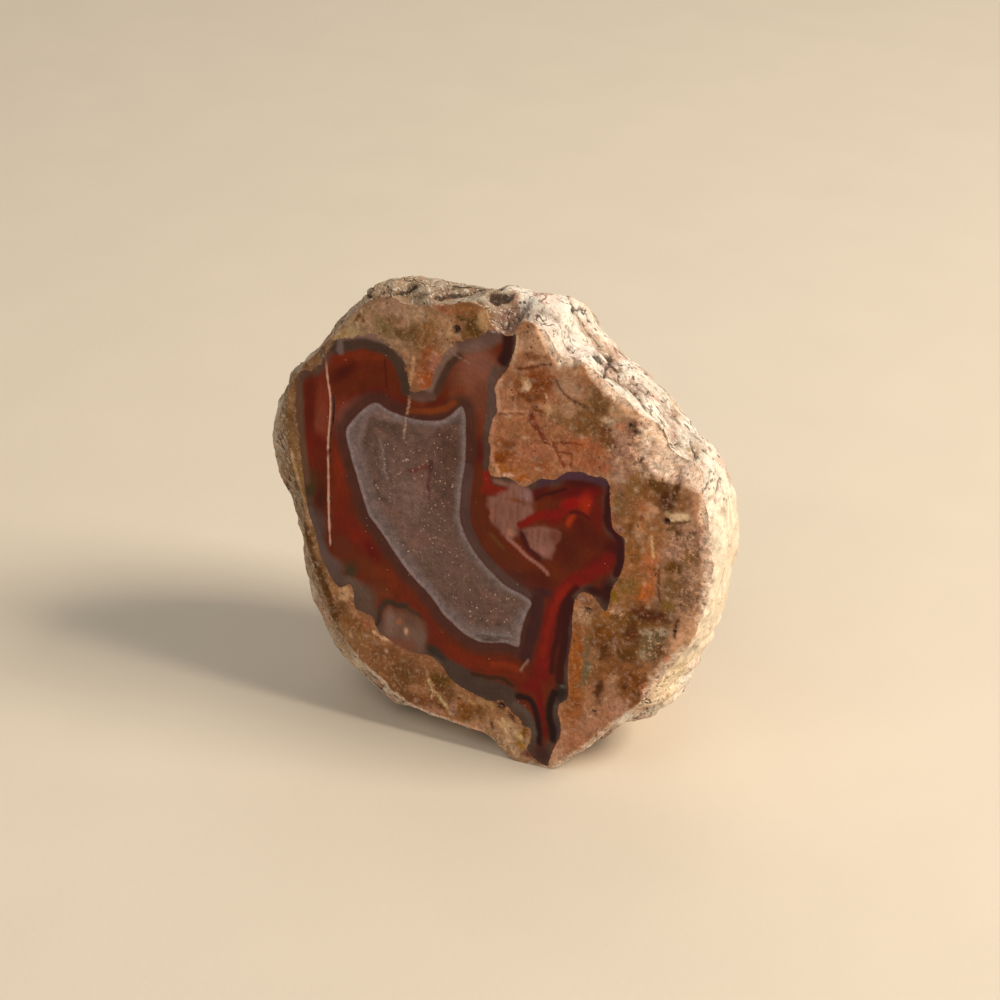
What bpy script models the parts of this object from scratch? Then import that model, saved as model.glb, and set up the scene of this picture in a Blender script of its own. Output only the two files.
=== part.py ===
"""Half of an agate nodule, cut and polished on its front, resting on a small flat spot.

One solid: a flat polished face that leans back a little, and behind it the rough, lumpy
rind of the nodule, with ledges, a few pits and one long open crack in the face.

Frame: metres, +Z up, the polished face looks towards -Y, and the origin is the middle of
the bounding box's underside.
"""

import math

import bmesh
import bpy
from mathutils import Matrix, Vector, noise

MM = 0.001

# The polished face, drawn flat. u runs right along the face and v up it, in millimetres
# from the lowest tip, where the front edge meets the ground.
FACE_LEAN = math.radians(9.0)
FACE_CENTRE = Vector((-12.0, 36.0))
FACE_OUTLINE = [
    (0.0, -0.5), (3.6, 2.7), (7.6, 6.6), (11.0, 11.6), (15.0, 16.4), (18.2, 21.4),
    (21.7, 28.3), (23.0, 37.0), (22.2, 42.5), (20.6, 49.4), (18.6, 53.0), (14.4, 54.3),
    (12.6, 57.6), (8.3, 60.9), (4.2, 63.2), (0.8, 65.9), (-2.8, 66.0), (-6.2, 69.5),
    (-9.4, 70.2), (-10.8, 67.7), (-14.0, 68.6), (-15.4, 71.2), (-18.4, 71.6),
    (-22.6, 70.2), (-27.4, 69.5), (-30.6, 70.3), (-34.6, 68.5), (-40.0, 62.4),
    (-45.0, 56.4), (-47.3, 51.4), (-46.9, 44.6), (-45.4, 38.6), (-43.6, 34.8),
    (-43.5, 30.4), (-41.4, 24.4), (-37.6, 16.4), (-31.4, 9.6), (-25.0, 5.4),
    (-18.6, 3.9), (-10.2, 3.3), (-7.4, 0.9), (-3.2, -0.5),
]
RIM_POINTS = 168

# The rind behind the face: at each clock angle round the face's centre (degrees, from +u
# towards +v) how far it stands out past the edge, and how deep its widest place lies.
SHOULDER = [
    (2, 0.6, 5.0), (17, 1.1, 6.0), (35, 0.5, 6.0), (52, 0.4, 6.0), (62, 0.2, 7.0),
    (71, 0.3, 7.0), (81, 3.4, 7.0), (93, 2.9, 6.0), (100, 1.0, 5.0), (117, 2.2, 4.0),
    (136, 1.9, 6.0), (149, 0.4, 7.0), (156, 3.0, 9.0), (166, 6.2, 10.0), (177, 7.6, 10.0),
    (184, 5.8, 9.0), (193, 4.4, 9.0), (203, 6.1, 10.0), (212, 7.5, 10.0), (226, 8.0, 9.0),
    (241, 5.2, 8.0), (255, 2.4, 11.0), (268, 2.4, 12.0), (284, 1.8, 13.0),
    (295, 1.1, 12.0), (304, 0.4, 10.0), (311, 2.8, 9.0), (319, 3.4, 10.0),
    (329, 1.6, 10.0), (340, 1.4, 8.0), (351, 0.9, 6.0),
]
BACK_DEPTH = 33.0
BACK_CENTRE = Vector((-13.0, 32.0))
BACK_FULLNESS = 0.86
FRONT_ROWS = 7
BACK_ROWS = 24
HALVING_ANGLES = (50.0, 70.0, 81.0)
LAST_ROW_ANGLE = 85.5

# The edge's small notches are gone a few millimetres behind the face.
NOTCH_DEPTH = 6.0
NOTCH_SMOOTHING = 9

# Relief of the rind. It fades out at the face's edge, which stays as drawn.
RELIEF_FADE = 3.0
LUMP_SIZE = 15.0
LUMP_HEIGHT = 1.4
KNOB_SIZE = 5.0
KNOB_HEIGHT = 0.8
LEDGE_SIZE = 9.5
LEDGE_HEIGHT = 1.3
LEDGE_DROP = 0.35
LEDGE_SLANT = Vector((0.45, -0.35, 1.0))

# Pits in the rind: clock angle, depth behind the face, length, width and depth, and how
# far the length is turned from straight back towards the clock's next hour.
PITS = [
    (97.0, 6.3, 4.0, 2.4, 2.0, 60.0), (110.0, 3.2, 7.0, 1.8, 1.4, 62.0),
    (73.0, 2.2, 3.0, 1.2, 1.0, 75.0), (54.0, 2.6, 2.4, 1.2, 0.9, 75.0),
    (48.0, 5.5, 3.0, 1.6, 1.2, 20.0), (44.0, 12.0, 2.6, 1.4, 1.2, 40.0),
    (84.0, 14.0, 5.0, 1.6, 1.2, 70.0), (27.0, 12.0, 2.2, 1.6, 1.1, 0.0),
    (6.0, 15.0, 2.8, 1.8, 1.3, 30.0), (345.0, 11.0, 2.2, 1.6, 1.1, 60.0),
    (172.0, 17.0, 3.4, 2.2, 1.5, 20.0), (215.0, 15.0, 2.8, 1.7, 1.3, 50.0),
    (128.0, 13.0, 3.0, 1.8, 1.3, 30.0), (236.0, 24.0, 3.4, 2.2, 1.5, 0.0),
    (70.0, 24.0, 4.2, 2.4, 1.8, 50.0), (150.0, 27.0, 3.0, 1.6, 1.2, 80.0),
    (20.0, 26.0, 3.6, 2.0, 1.4, 70.0), (310.0, 22.0, 2.8, 1.8, 1.2, 15.0),
]
# Small holes in the polished face: place on the face, radius and depth.
FACE_HOLES = [(-19.7, 67.2, 0.6, 0.9), (15.5, 44.5, 0.5, 0.8)]

# The open crack down the left of the face, from its top end to its hooked lower end.
CRACK = [
    (-41.0, 60.0), (-40.5, 56.0), (-39.7, 51.5), (-39.9, 45.5), (-39.6, 39.5),
    (-39.3, 34.0), (-38.8, 28.6), (-40.8, 26.6),
]
CRACK_WIDTH = 0.75
CRACK_DEPTH = 1.3

FACE_RIGHT = Vector((1.0, 0.0, 0.0))
FACE_UP = Vector((0.0, math.sin(FACE_LEAN), math.cos(FACE_LEAN)))
FACE_NORMAL = Vector((0.0, -math.cos(FACE_LEAN), math.sin(FACE_LEAN)))


def clear_scene():
    for obj in list(bpy.data.objects):
        bpy.data.objects.remove(obj, do_unlink=True)


def principled(name, colour, roughness):
    material = bpy.data.materials.new(name)
    material.use_nodes = True
    shader = material.node_tree.nodes["Principled BSDF"]
    shader.inputs["Base Color"].default_value = (*colour, 1.0)
    shader.inputs["Roughness"].default_value = roughness
    shader.inputs["Metallic"].default_value = 0.0
    material.diffuse_color = (*colour, 1.0)
    return material


def rind_material():
    return principled("weathered_rind", (0.62, 0.47, 0.36), 0.85)


def polished_material():
    return principled("polished_agate", (0.22, 0.085, 0.05), 0.18)


def place(u, v, behind):
    """A point in millimetres: u and v on the face's plane, then straight back from it."""
    return FACE_RIGHT * u + FACE_UP * v - FACE_NORMAL * behind


def catmull_rom(before, start, end, after, step):
    """A point part of the way from start to end on a smooth curve through all four."""
    return 0.5 * (
        2.0 * start
        + (end - before) * step
        + (2.0 * before - 5.0 * start + 4.0 * end - after) * step**2
        + (3.0 * start - before - 3.0 * end + after) * step**3
    )


def closed_curve(corners, count):
    """count points, evenly spaced, on a closed smooth curve through the corners."""
    corners = [Vector(corner) for corner in corners]
    total = len(corners)
    fine = []
    for index in range(total):
        around = [corners[(index + shift) % total] for shift in (-1, 0, 1, 2)]
        for part in range(12):
            fine.append(catmull_rom(*around, part / 12.0))
    lengths = [0.0]
    for index, point in enumerate(fine):
        lengths.append(lengths[-1] + (fine[(index + 1) % len(fine)] - point).length)
    points = []
    index = 0
    for number in range(count):
        target = lengths[-1] * number / count
        while lengths[index + 1] < target:
            index += 1
        share = (target - lengths[index]) / (lengths[index + 1] - lengths[index])
        points.append(fine[index].lerp(fine[(index + 1) % len(fine)], share))
    return points


def shoulder_at(angle):
    """How far the rind stands out, and how deep that place is, at a clock angle."""
    angle %= 360.0
    total = len(SHOULDER)
    for index in range(total):
        start = SHOULDER[index][0]
        width = (SHOULDER[(index + 1) % total][0] - start) % 360.0
        step = (angle - start) % 360.0
        if step < width:
            break
    step /= width
    step = step * step * (3.0 - 2.0 * step)
    here = SHOULDER[index]
    there = SHOULDER[(index + 1) % total]
    return (
        here[1] + (there[1] - here[1]) * step,
        here[2] + (there[2] - here[2]) * step,
    )


def clock_angle(point):
    offset = point - FACE_CENTRE
    return math.degrees(math.atan2(offset.y, offset.x)) % 360.0


def smooth_step(value):
    value = max(0.0, min(1.0, value))
    return value * value * (3.0 - 2.0 * value)


def relief(point):
    """Height of the rind's lumps, knobs and ledges at a place, in millimetres."""
    lumps = noise.noise(point / LUMP_SIZE + Vector((3.1, 7.7, 1.3)))
    knobs = noise.noise(point / KNOB_SIZE + Vector((9.2, 0.4, 5.5)))
    warped = point.dot(LEDGE_SLANT.normalized()) / LEDGE_SIZE
    warped += 0.9 * noise.noise(point / (2.0 * LEDGE_SIZE))
    rise = warped - math.floor(warped)
    climb = 1.0 - LEDGE_DROP
    ledge = smooth_step(rise / climb) - smooth_step((rise - climb) / LEDGE_DROP)
    strength = smooth_step(0.5 + 1.6 * noise.noise(point / 19.0 + Vector((4.0, 4.0, 4.0))))
    return LUMP_HEIGHT * lumps + KNOB_HEIGHT * knobs + LEDGE_HEIGHT * (ledge - 0.5) * strength


def roughen(point, behind):
    """Move a point of the rind out or in by the relief there."""
    inside = place(FACE_CENTRE.x, FACE_CENTRE.y - 3.0, 8.0)
    outward = (point - inside).normalized()
    return point + outward * relief(point) * smooth_step(behind / RELIEF_FADE)


def soften(edges):
    """How far each edge point would lie from the face's centre without the small notches."""
    reaches = [(edge - FACE_CENTRE).length for edge in edges]
    count = len(edges)
    span = range(-NOTCH_SMOOTHING, NOTCH_SMOOTHING + 1)
    weights = [NOTCH_SMOOTHING + 1 - abs(shift) for shift in span]
    soft = []
    for index in range(count):
        near = [reaches[(index + shift) % count] for shift in span]
        soft.append(sum(w * r for w, r in zip(weights, near)) / sum(weights))
    return soft


def rind_point(edge, soft_reach, row_angle, front_share):
    """A point of the rind behind an edge point, before the relief is added.

    front_share runs from 0 at the face's edge to 1 at the shoulder, and row_angle from 0
    at the shoulder to 90 degrees at the middle of the back.
    """
    bulge, shoulder_depth = shoulder_at(clock_angle(edge))
    turn = math.radians(row_angle)
    if row_angle > 0.0:
        behind = shoulder_depth + (BACK_DEPTH - shoulder_depth) * math.sin(turn)
    else:
        behind = shoulder_depth * front_share
    reach = (edge - FACE_CENTRE).length
    reach += (soft_reach - reach) * smooth_step(behind / NOTCH_DEPTH)
    reach += bulge * (1.0 - (1.0 - front_share) ** 2)
    reach *= math.cos(turn) ** BACK_FULLNESS
    centre = FACE_CENTRE.lerp(BACK_CENTRE, math.sin(turn) ** 2)
    return centre + (edge - FACE_CENTRE).normalized() * reach, behind


def add_row(mesh, edges, soft, row_angle, front_share):
    row = []
    for edge, soft_reach in zip(edges, soft):
        flat, behind = rind_point(edge, soft_reach, row_angle, front_share)
        point = roughen(place(flat.x, flat.y, behind), behind)
        row.append(mesh.verts.new(point * MM))
    return row


def join_rows(mesh, outer, inner):
    """Faces between two rows, where the inner one has as many points or half as many."""
    count = len(inner)
    for index in range(count):
        after = (index + 1) % count
        if len(outer) == count:
            mesh.faces.new((outer[index], outer[after], inner[after], inner[index]))
        else:
            near = outer[2 * index]
            middle = outer[2 * index + 1]
            far = outer[(2 * index + 2) % len(outer)]
            mesh.faces.new((near, middle, inner[index]))
            mesh.faces.new((middle, inner[after], inner[index]))
            mesh.faces.new((middle, far, inner[after]))


def build_rind(mesh, edges):
    """Rows of faces from the face's edge round the shoulder to the back. Returns the edge."""
    soft = soften(edges)
    rim = add_row(mesh, edges, soft, 0.0, 0.0)
    last = rim
    for number in range(1, FRONT_ROWS + 1):
        row = add_row(mesh, edges, soft, 0.0, number / FRONT_ROWS)
        join_rows(mesh, last, row)
        last = row
    halvings = list(HALVING_ANGLES)
    for number in range(1, BACK_ROWS + 1):
        row_angle = LAST_ROW_ANGLE * number / BACK_ROWS
        if halvings and row_angle > halvings[0]:
            halvings.pop(0)
            edges = edges[::2]
            soft = soft[::2]
        row = add_row(mesh, edges, soft, row_angle, 1.0)
        join_rows(mesh, last, row)
        last = row
    middle = place(BACK_CENTRE.x, BACK_CENTRE.y, BACK_DEPTH)
    pole = mesh.verts.new(roughen(middle, BACK_DEPTH) * MM)
    for index, vert in enumerate(last):
        mesh.faces.new((vert, last[(index + 1) % len(last)], pole))
    return rim


def cut_flat_spot(mesh):
    """Cut off what would lie under the ground, and close the stone there with one flat face."""
    everything = mesh.verts[:] + mesh.edges[:] + mesh.faces[:]
    cut = bmesh.ops.bisect_plane(
        mesh, geom=everything, dist=1e-6, plane_co=(0.0, 0.0, 0.0), plane_no=(0.0, 0.0, -1.0),
        clear_outer=True,
    )
    edges = [item for item in cut["geom_cut"] if isinstance(item, bmesh.types.BMEdge)]
    for item in cut["geom_cut"]:
        if isinstance(item, bmesh.types.BMVert):
            item.co.z = 0.0
    bmesh.ops.contextual_create(mesh, geom=edges)


def wedge_along(mesh, path):
    """A V-shaped bar along a path on the face, standing a little out of it."""
    proud = 0.6
    rows = []
    last = len(path) - 1
    for index, here in enumerate(path):
        before = Vector(path[max(index - 1, 0)])
        after = Vector(path[min(index + 1, last)])
        along = (after - before).normalized()
        across = Vector((along.y, -along.x))
        half = CRACK_WIDTH * (0.5 if 0 < index < last else 0.2)
        deep = CRACK_DEPTH * (1.0 if 0 < index < last else 0.4)
        flare = half * (1.0 + proud / deep)
        centre = Vector(here)
        left = centre - across * flare
        right = centre + across * flare
        rows.append([
            mesh.verts.new(place(left.x, left.y, -proud) * MM),
            mesh.verts.new(place(right.x, right.y, -proud) * MM),
            mesh.verts.new(place(centre.x, centre.y, deep) * MM),
        ])
    for first, second in zip(rows, rows[1:]):
        for side in range(3):
            other = (side + 1) % 3
            mesh.faces.new((first[side], first[other], second[other], second[side]))
    mesh.faces.new(rows[0])
    mesh.faces.new(rows[-1])


def add_bowl(mesh, centre, outward, along, length, width, depth):
    """A squashed ball whose lower half is a pit of this length, width and depth."""
    across = outward.cross(along).normalized()
    along = across.cross(outward).normalized()
    turn = Matrix((along, across, outward)).transposed().to_4x4()
    size = Matrix.Diagonal((length / 2.0, width / 2.0, depth, 1.0))
    where = Matrix.Translation(centre * MM) @ turn @ size
    fineness = 2 if length > 3.2 else 1
    made = bmesh.ops.create_icosphere(mesh, subdivisions=fineness, radius=1.0)
    for vert in made["verts"]:
        vert.co = where @ (vert.co * MM)


def surface_at(solid, angle, behind):
    """Where a line from the stone's middle, at a clock angle and depth, leaves the solid."""
    turn = math.radians(angle)
    middle = place(FACE_CENTRE.x, FACE_CENTRE.y, behind)
    outward = FACE_RIGHT * math.cos(turn) + FACE_UP * math.sin(turn)
    hit, point, normal, _ = solid.ray_cast(middle * MM, outward)
    if not hit:
        raise ValueError("no surface at %.0f degrees" % angle)
    return point / MM, normal


def make_cutter(solid):
    """The crack, the pits and the small holes, as one hidden object to subtract."""
    mesh = bmesh.new()
    wedge_along(mesh, CRACK)
    for u, v, radius, depth in FACE_HOLES:
        centre = place(u, v, 0.0)
        add_bowl(mesh, centre, FACE_NORMAL, FACE_RIGHT, 2.0 * radius, 2.0 * radius, depth)
    for angle, behind, length, width, depth, turn in PITS:
        centre, normal = surface_at(solid, angle, behind)
        along = Matrix.Rotation(math.radians(turn), 3, normal) @ -FACE_NORMAL
        add_bowl(mesh, centre, normal, along, length, width, depth)
    bmesh.ops.recalc_face_normals(mesh, faces=mesh.faces)
    data = bpy.data.meshes.new("hollows")
    mesh.to_mesh(data)
    mesh.free()
    cutter = bpy.data.objects.new("hollows", data)
    cutter.hide_render = True
    cutter.display_type = "WIRE"
    bpy.context.scene.collection.objects.link(cutter)
    return cutter


def centre_on_origin(data):
    """Shift the mesh so that the origin is the middle of its box's underside."""
    lows = [min(vert.co[axis] for vert in data.vertices) for axis in range(3)]
    highs = [max(vert.co[axis] for vert in data.vertices) for axis in range(3)]
    shift = Vector((-(lows[0] + highs[0]) / 2.0, -(lows[1] + highs[1]) / 2.0, -lows[2]))
    data.transform(Matrix.Translation(shift))
    return shift


def paint(data):
    """The flat face takes the polished material, and all the rest the rind's."""
    data.materials.append(rind_material())
    data.materials.append(polished_material())
    for polygon in data.polygons:
        flat = polygon.normal.dot(FACE_NORMAL) > 0.9999
        polygon.material_index = 1 if flat else 0


def make_nodule():
    mesh = bmesh.new()
    edges = closed_curve(FACE_OUTLINE, RIM_POINTS)
    rim = build_rind(mesh, edges)
    mesh.faces.new(list(reversed(rim)))
    cut_flat_spot(mesh)
    bmesh.ops.recalc_face_normals(mesh, faces=mesh.faces)
    data = bpy.data.meshes.new("agate_nodule")
    mesh.to_mesh(data)
    mesh.free()
    nodule = bpy.data.objects.new("agate_nodule", data)
    bpy.context.scene.collection.objects.link(nodule)
    return nodule


def main():
    clear_scene()
    nodule = make_nodule()
    bpy.context.view_layer.update()
    cutter = make_cutter(nodule)
    shift = centre_on_origin(nodule.data)
    cutter.data.transform(Matrix.Translation(shift))
    paint(nodule.data)
    hollows = nodule.modifiers.new("hollows", "BOOLEAN")
    hollows.operation = "DIFFERENCE"
    hollows.solver = "EXACT"
    hollows.object = cutter


main()
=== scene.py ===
"""Looks of a cut and polished agate nodule half.

The stone is one closed mesh: a flat polished face with a banded agate in brown matrix, and a
rough pale rind behind it. Shapes are worked out in face coordinates, in millimetres: u runs
right along the face, v runs up along it and b runs back into the stone, from the lower tip.
"""
import math

import bpy
import numpy as np
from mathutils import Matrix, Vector, noise
from mathutils.bvhtree import BVHTree
from mathutils.geometry import delaunay_2d_cdt


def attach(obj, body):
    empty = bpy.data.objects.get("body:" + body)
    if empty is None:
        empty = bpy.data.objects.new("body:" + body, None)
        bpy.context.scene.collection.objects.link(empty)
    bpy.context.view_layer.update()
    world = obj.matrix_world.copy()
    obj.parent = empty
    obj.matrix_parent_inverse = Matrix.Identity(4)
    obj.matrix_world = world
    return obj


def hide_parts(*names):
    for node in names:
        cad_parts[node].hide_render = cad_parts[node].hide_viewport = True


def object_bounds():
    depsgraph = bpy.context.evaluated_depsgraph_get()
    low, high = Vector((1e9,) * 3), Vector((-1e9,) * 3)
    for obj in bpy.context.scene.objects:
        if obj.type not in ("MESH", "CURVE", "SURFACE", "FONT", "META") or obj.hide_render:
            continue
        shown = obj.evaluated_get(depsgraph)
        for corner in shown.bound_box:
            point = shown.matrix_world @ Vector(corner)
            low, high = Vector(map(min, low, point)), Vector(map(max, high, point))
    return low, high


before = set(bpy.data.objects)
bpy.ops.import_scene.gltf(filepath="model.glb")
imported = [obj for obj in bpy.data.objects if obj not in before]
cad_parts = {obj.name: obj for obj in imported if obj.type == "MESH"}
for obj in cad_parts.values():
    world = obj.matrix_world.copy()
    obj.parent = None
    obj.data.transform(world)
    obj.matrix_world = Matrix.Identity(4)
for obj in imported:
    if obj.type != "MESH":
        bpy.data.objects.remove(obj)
cad_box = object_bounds()

MM = 0.001

# The face's lower tip in the frame, and how far the face leans back.
TIP = np.array((15.4617, -19.4582, 0.0))
FACE_LEAN = math.radians(9.0)
FACE_RIGHT = np.array((1.0, 0.0, 0.0))
FACE_UP = np.array((0.0, math.sin(FACE_LEAN), math.cos(FACE_LEAN)))
FACE_BACK = np.array((0.0, math.cos(FACE_LEAN), -math.sin(FACE_LEAN)))

# The middle of the face, which the rays to the rind start from.
MIDDLE = (-12.0, 36.0)
RAY_START_BEHIND = 0.02
RAY_LENGTH = 90.0

# Mesh fineness.
RIM_RAYS = 1500
RIM_POINTS = 600
RAYS_PER_COLUMN = 150
RIND_ROWS = 112
RIND_STEP = 0.45
FACE_STEP = 0.335
SMOOTHING_PASSES = 14


def to_world(points):
    """Face coordinates in millimetres to metres in the frame."""
    p = np.asarray(points, float)
    placed = TIP + p[..., 0:1] * FACE_RIGHT + p[..., 1:2] * FACE_UP + p[..., 2:3] * FACE_BACK
    return placed * MM


def to_face(points):
    """Metres in the frame to face coordinates in millimetres."""
    p = np.asarray(points, float) / MM - TIP
    return np.stack([p @ FACE_RIGHT, p @ FACE_UP, p @ FACE_BACK], axis=-1)


def smooth_step(low, high, x):
    t = np.clip((x - low) / (high - low), 0.0, 1.0)
    return t * t * (3.0 - 2.0 * t)


def between(opens, closes, x):
    """1 where x lies between the two ranges, fading to 0 across each of them."""
    return smooth_step(*opens, x) * (1.0 - smooth_step(*closes, x))


# How far one unit of seed moves the noise along the three axes.
SEED_STRIDE = np.array((1.0, 2.7, -1.3))


def grain(points, size, seed=0.0):
    """Smooth noise from about -1 to 1 at each point, with lumps of about the given size."""
    points = np.asarray(points, float)
    if points.shape[1] == 2:
        points = np.column_stack([points, np.zeros(len(points))])
    return np.array([noise.noise(p) for p in points / size + seed * SEED_STRIDE])


def smooth_stretch(p0, p1, p2, p3, step):
    """Points from p1 up to p2 on the curve that Catmull and Rom draw through four corners."""
    count = max(1, int(np.linalg.norm(p2 - p1) / step))
    points = []
    for t in np.arange(count) / count:
        bend = (2 * p0 - 5 * p1 + 4 * p2 - p3) * t + (3 * (p1 - p2) + p3 - p0) * t * t
        points.append(p1 + 0.5 * t * (p2 - p0 + bend))
    return points


def closed_curve(corners, step=0.4):
    """Points along a smooth closed curve through the corners."""
    c = np.array(corners, float)
    points = []
    for four in zip(np.roll(c, 1, 0), c, np.roll(c, -1, 0), np.roll(c, -2, 0)):
        points += smooth_stretch(*four, step)
    return np.array(points)


def open_curve(corners, step=0.3):
    """Points along a smooth curve from the first corner to the last."""
    c = np.array(corners, float)
    c = np.vstack([2 * c[0] - c[1], c, 2 * c[-1] - c[-2]])
    points = []
    for four in zip(c, c[1:], c[2:], c[3:]):
        points += smooth_stretch(*four, step)
    return np.array(points + [c[-2]])


def distance_to(points, line, closed=False):
    """Each point's distance to the nearest stretch of a line."""
    ends = np.roll(line, -1, 0) if closed else line[1:]
    starts = line if closed else line[:-1]
    nearest = np.full(len(points), 1e9)
    for a, b in zip(starts, ends):
        run = b - a
        t = np.clip(((points - a) @ run) / max(run @ run, 1e-9), 0.0, 1.0)
        gap = points - a - t[:, None] * run
        nearest = np.minimum(nearest, (gap * gap).sum(axis=1))
    return np.sqrt(nearest)


def is_inside(points, outline):
    """True for each point inside a closed outline."""
    inside = np.zeros(len(points), bool)
    x, y = points[:, 0], points[:, 1]
    for (x1, y1), (x2, y2) in zip(outline, np.roll(outline, -1, 0)):
        if y1 == y2:
            continue
        crosses = ((y1 > y) != (y2 > y)) & (x < (x2 - x1) * (y - y1) / (y2 - y1) + x1)
        inside ^= crosses
    return inside


def depth_inside(points, outline):
    """Distance to a closed outline, positive inside it and negative outside."""
    d = distance_to(points, outline, closed=True)
    return np.where(is_inside(points, outline), d, -d)


# Crack down the left of the face: its path, the rows of points beside it, and the heights
# over which it fades out at its foot and head.
CRACK = [
    (-41.0, 60.0), (-40.5, 56.0), (-39.7, 51.5), (-39.9, 45.5), (-39.6, 39.5),
    (-39.3, 34.0), (-38.8, 28.6), (-40.8, 26.6),
]
CRACK_ROWS = (-0.62, -0.4, -0.26, -0.12, 0.0, 0.1, 0.2, 0.3, 0.42, 0.64)
CRACK_CLEARANCE = 0.85
CRACK_FOOT = (28.2, 29.4)
CRACK_HEAD = (55.4, 59.6)
# Its dark slit, painted shade inside the crack, runs beside the path: offset, narrow and wide half width,
# the heights over which it widens and narrows, the height that its dashes stay below, and its depth.
SLIT_OFFSET = 0.24
SLIT_NARROW = 0.1
SLIT_WIDE = 0.22
SLIT_WIDENS = (48.3, 48.9)
SLIT_NARROWS = (52.4, 53.6)
DASHES_END = 49.0
SLIT_DEPTH = 1.0
# Its pale chipped edge, partly its own pale colour and partly a painted highlight: half width, how much
# that varies, and the offset.
CHIP_WIDTH = 0.15
CHIP_RAGGEDNESS = 0.09
CHIP_OFFSET = -0.04

# Worn parts of the face's edge: clock angle and half angle in degrees, width and drop.
WORN_EDGES = [
    (35.0, 14.0, 5.0, 2.5), (6.0, 24.0, 1.5, 0.6), (-27.0, 14.0, 1.6, 0.7), (58.0, 12.0, 1.6, 0.7),
    (74.0, 10.0, 1.4, 0.5), (-62.0, 22.0, 0.9, 0.3), (-110.0, 26.0, 0.7, 0.2),
]
WORN_REACH = 4.5
WORN_CURVE = 1.5

# Pocks of the worn edge and the rough spots.
SMALL_POCK_DEPTH = 0.28
LARGE_POCK_DEPTH = 0.3

# Depth of the nicks in the sawn edge.
LARGE_NICK = 0.3
SMALL_NICK = 0.16

# Small holes in the face: place, radius and depth.
FACE_HOLES = [
    (-19.7, 67.2, 0.75, 0.9), (-19.9, 66.8, 0.4, 0.7), (15.4, 44.4, 0.6, 0.8), (9.6, 56.9, 0.55, 0.5),
    (8.5, 57.8, 0.4, 0.4), (10.5, 53.0, 0.5, 0.4), (4.6, 27.8, 0.4, 0.35), (-28.6, 34.3, 0.22, 0.3),
    (-9.9, 22.0, 0.24, 0.35), (-14.8, 25.9, 0.25, 0.3), (-13.8, 24.8, 0.22, 0.3), (-17.8, 22.8, 0.2, 0.3),
    (-8.4, 8.9, 0.5, 0.35), (-15.5, 8.2, 0.3, 0.3), (6.8, 11.6, 0.4, 0.35), (18.3, 27.5, 0.4, 0.4),
]

# Rough spots of the polished face, where grains have broken out: place and two radii.
ROUGH_SPOTS = [
    (9.0, 54.0, 4.5, 4.0), (5.5, 57.5, 1.5, 1.5), (18.5, 41.0, 3.0, 3.5), (16.0, 52.5, 2.5, 1.5),
    (15.5, 24.8, 2.5, 3.0), (20.0, 34.0, 2.0, 5.0), (4.0, 27.5, 1.6, 2.2), (9.0, 28.5, 1.6, 1.2),
    (-8.0, 2.5, 3.0, 2.2), (-19.5, 8.5, 1.8, 2.0), (-29.0, 15.3, 1.6, 0.7), (-11.5, 68.5, 2.2, 0.8),
    (6.5, 11.5, 1.2, 1.0), (-16.5, 6.5, 1.2, 1.6),
]

# Relief of the rind: size and height of each layer of lumps.
RIND_LUMPS = [(7.0, 0.5), (3.0, 0.3), (1.3, 0.17), (0.7, 0.1)]
LEDGE_NORMAL = np.array((0.42, 0.9, -0.12))
LEDGE_STRETCH = 3.0
LEDGE_SIZE = 3.4
LEDGE_HEIGHT = 0.6
LEDGE_DROP = 0.16
CLEFT_WIDTH = 0.04
CLEFT_DEPTH = 0.45
PIT_SPACING = 2.1
PIT_DEPTH = 0.42
RIM_FADE = 1.0

# Hollows of the rind, painted dark inside as their shade: place, the way the long side runs, half length,
# half width and depth.
RIND_HOLLOWS = [
    (-14.3, 72.3, 3.3, (1.0, 0.2, 0.7), 2.0, 1.1, 0.9), (-17.8, 72.0, 6.0, (1.0, 0.2, 0.5), 3.0, 0.5, 0.8),
    (-28.6, 71.2, 1.6, (1.0, 0.4, 0.6), 2.4, 0.4, 0.5),
    (-0.8, 64.6, 1.2, (1.0, 0.0, 0.2), 1.1, 0.5, 0.6), (4.8, 62.3, 1.8, (1.0, 0.3, 0.4), 0.9, 0.4, 0.5),
    (10.2, 62.4, 4.4, (1.0, -0.9, 0.4), 1.3, 0.6, 0.6), (12.0, 60.5, 7.0, (1.0, -0.4, 0.5), 1.8, 0.5, 0.6),
    (-2.3, 67.3, 2.6, (0.6, 1.0, 0.4), 1.1, 0.35, 0.5), (16.5, 55.0, 9.0, (1.0, -0.8, 0.0), 1.4, 0.6, 0.7),
    (21.5, 38.0, 9.0, (0.2, 1.0, 0.3), 1.2, 0.7, 0.7), (-30.0, 70.3, 2.4, (1.0, 0.45, 0.3), 1.6, 0.5, 0.6),
]

# A point further than this from every seam and hollow counts as being this far away.
SEAM_REACH = 4.0
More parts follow.
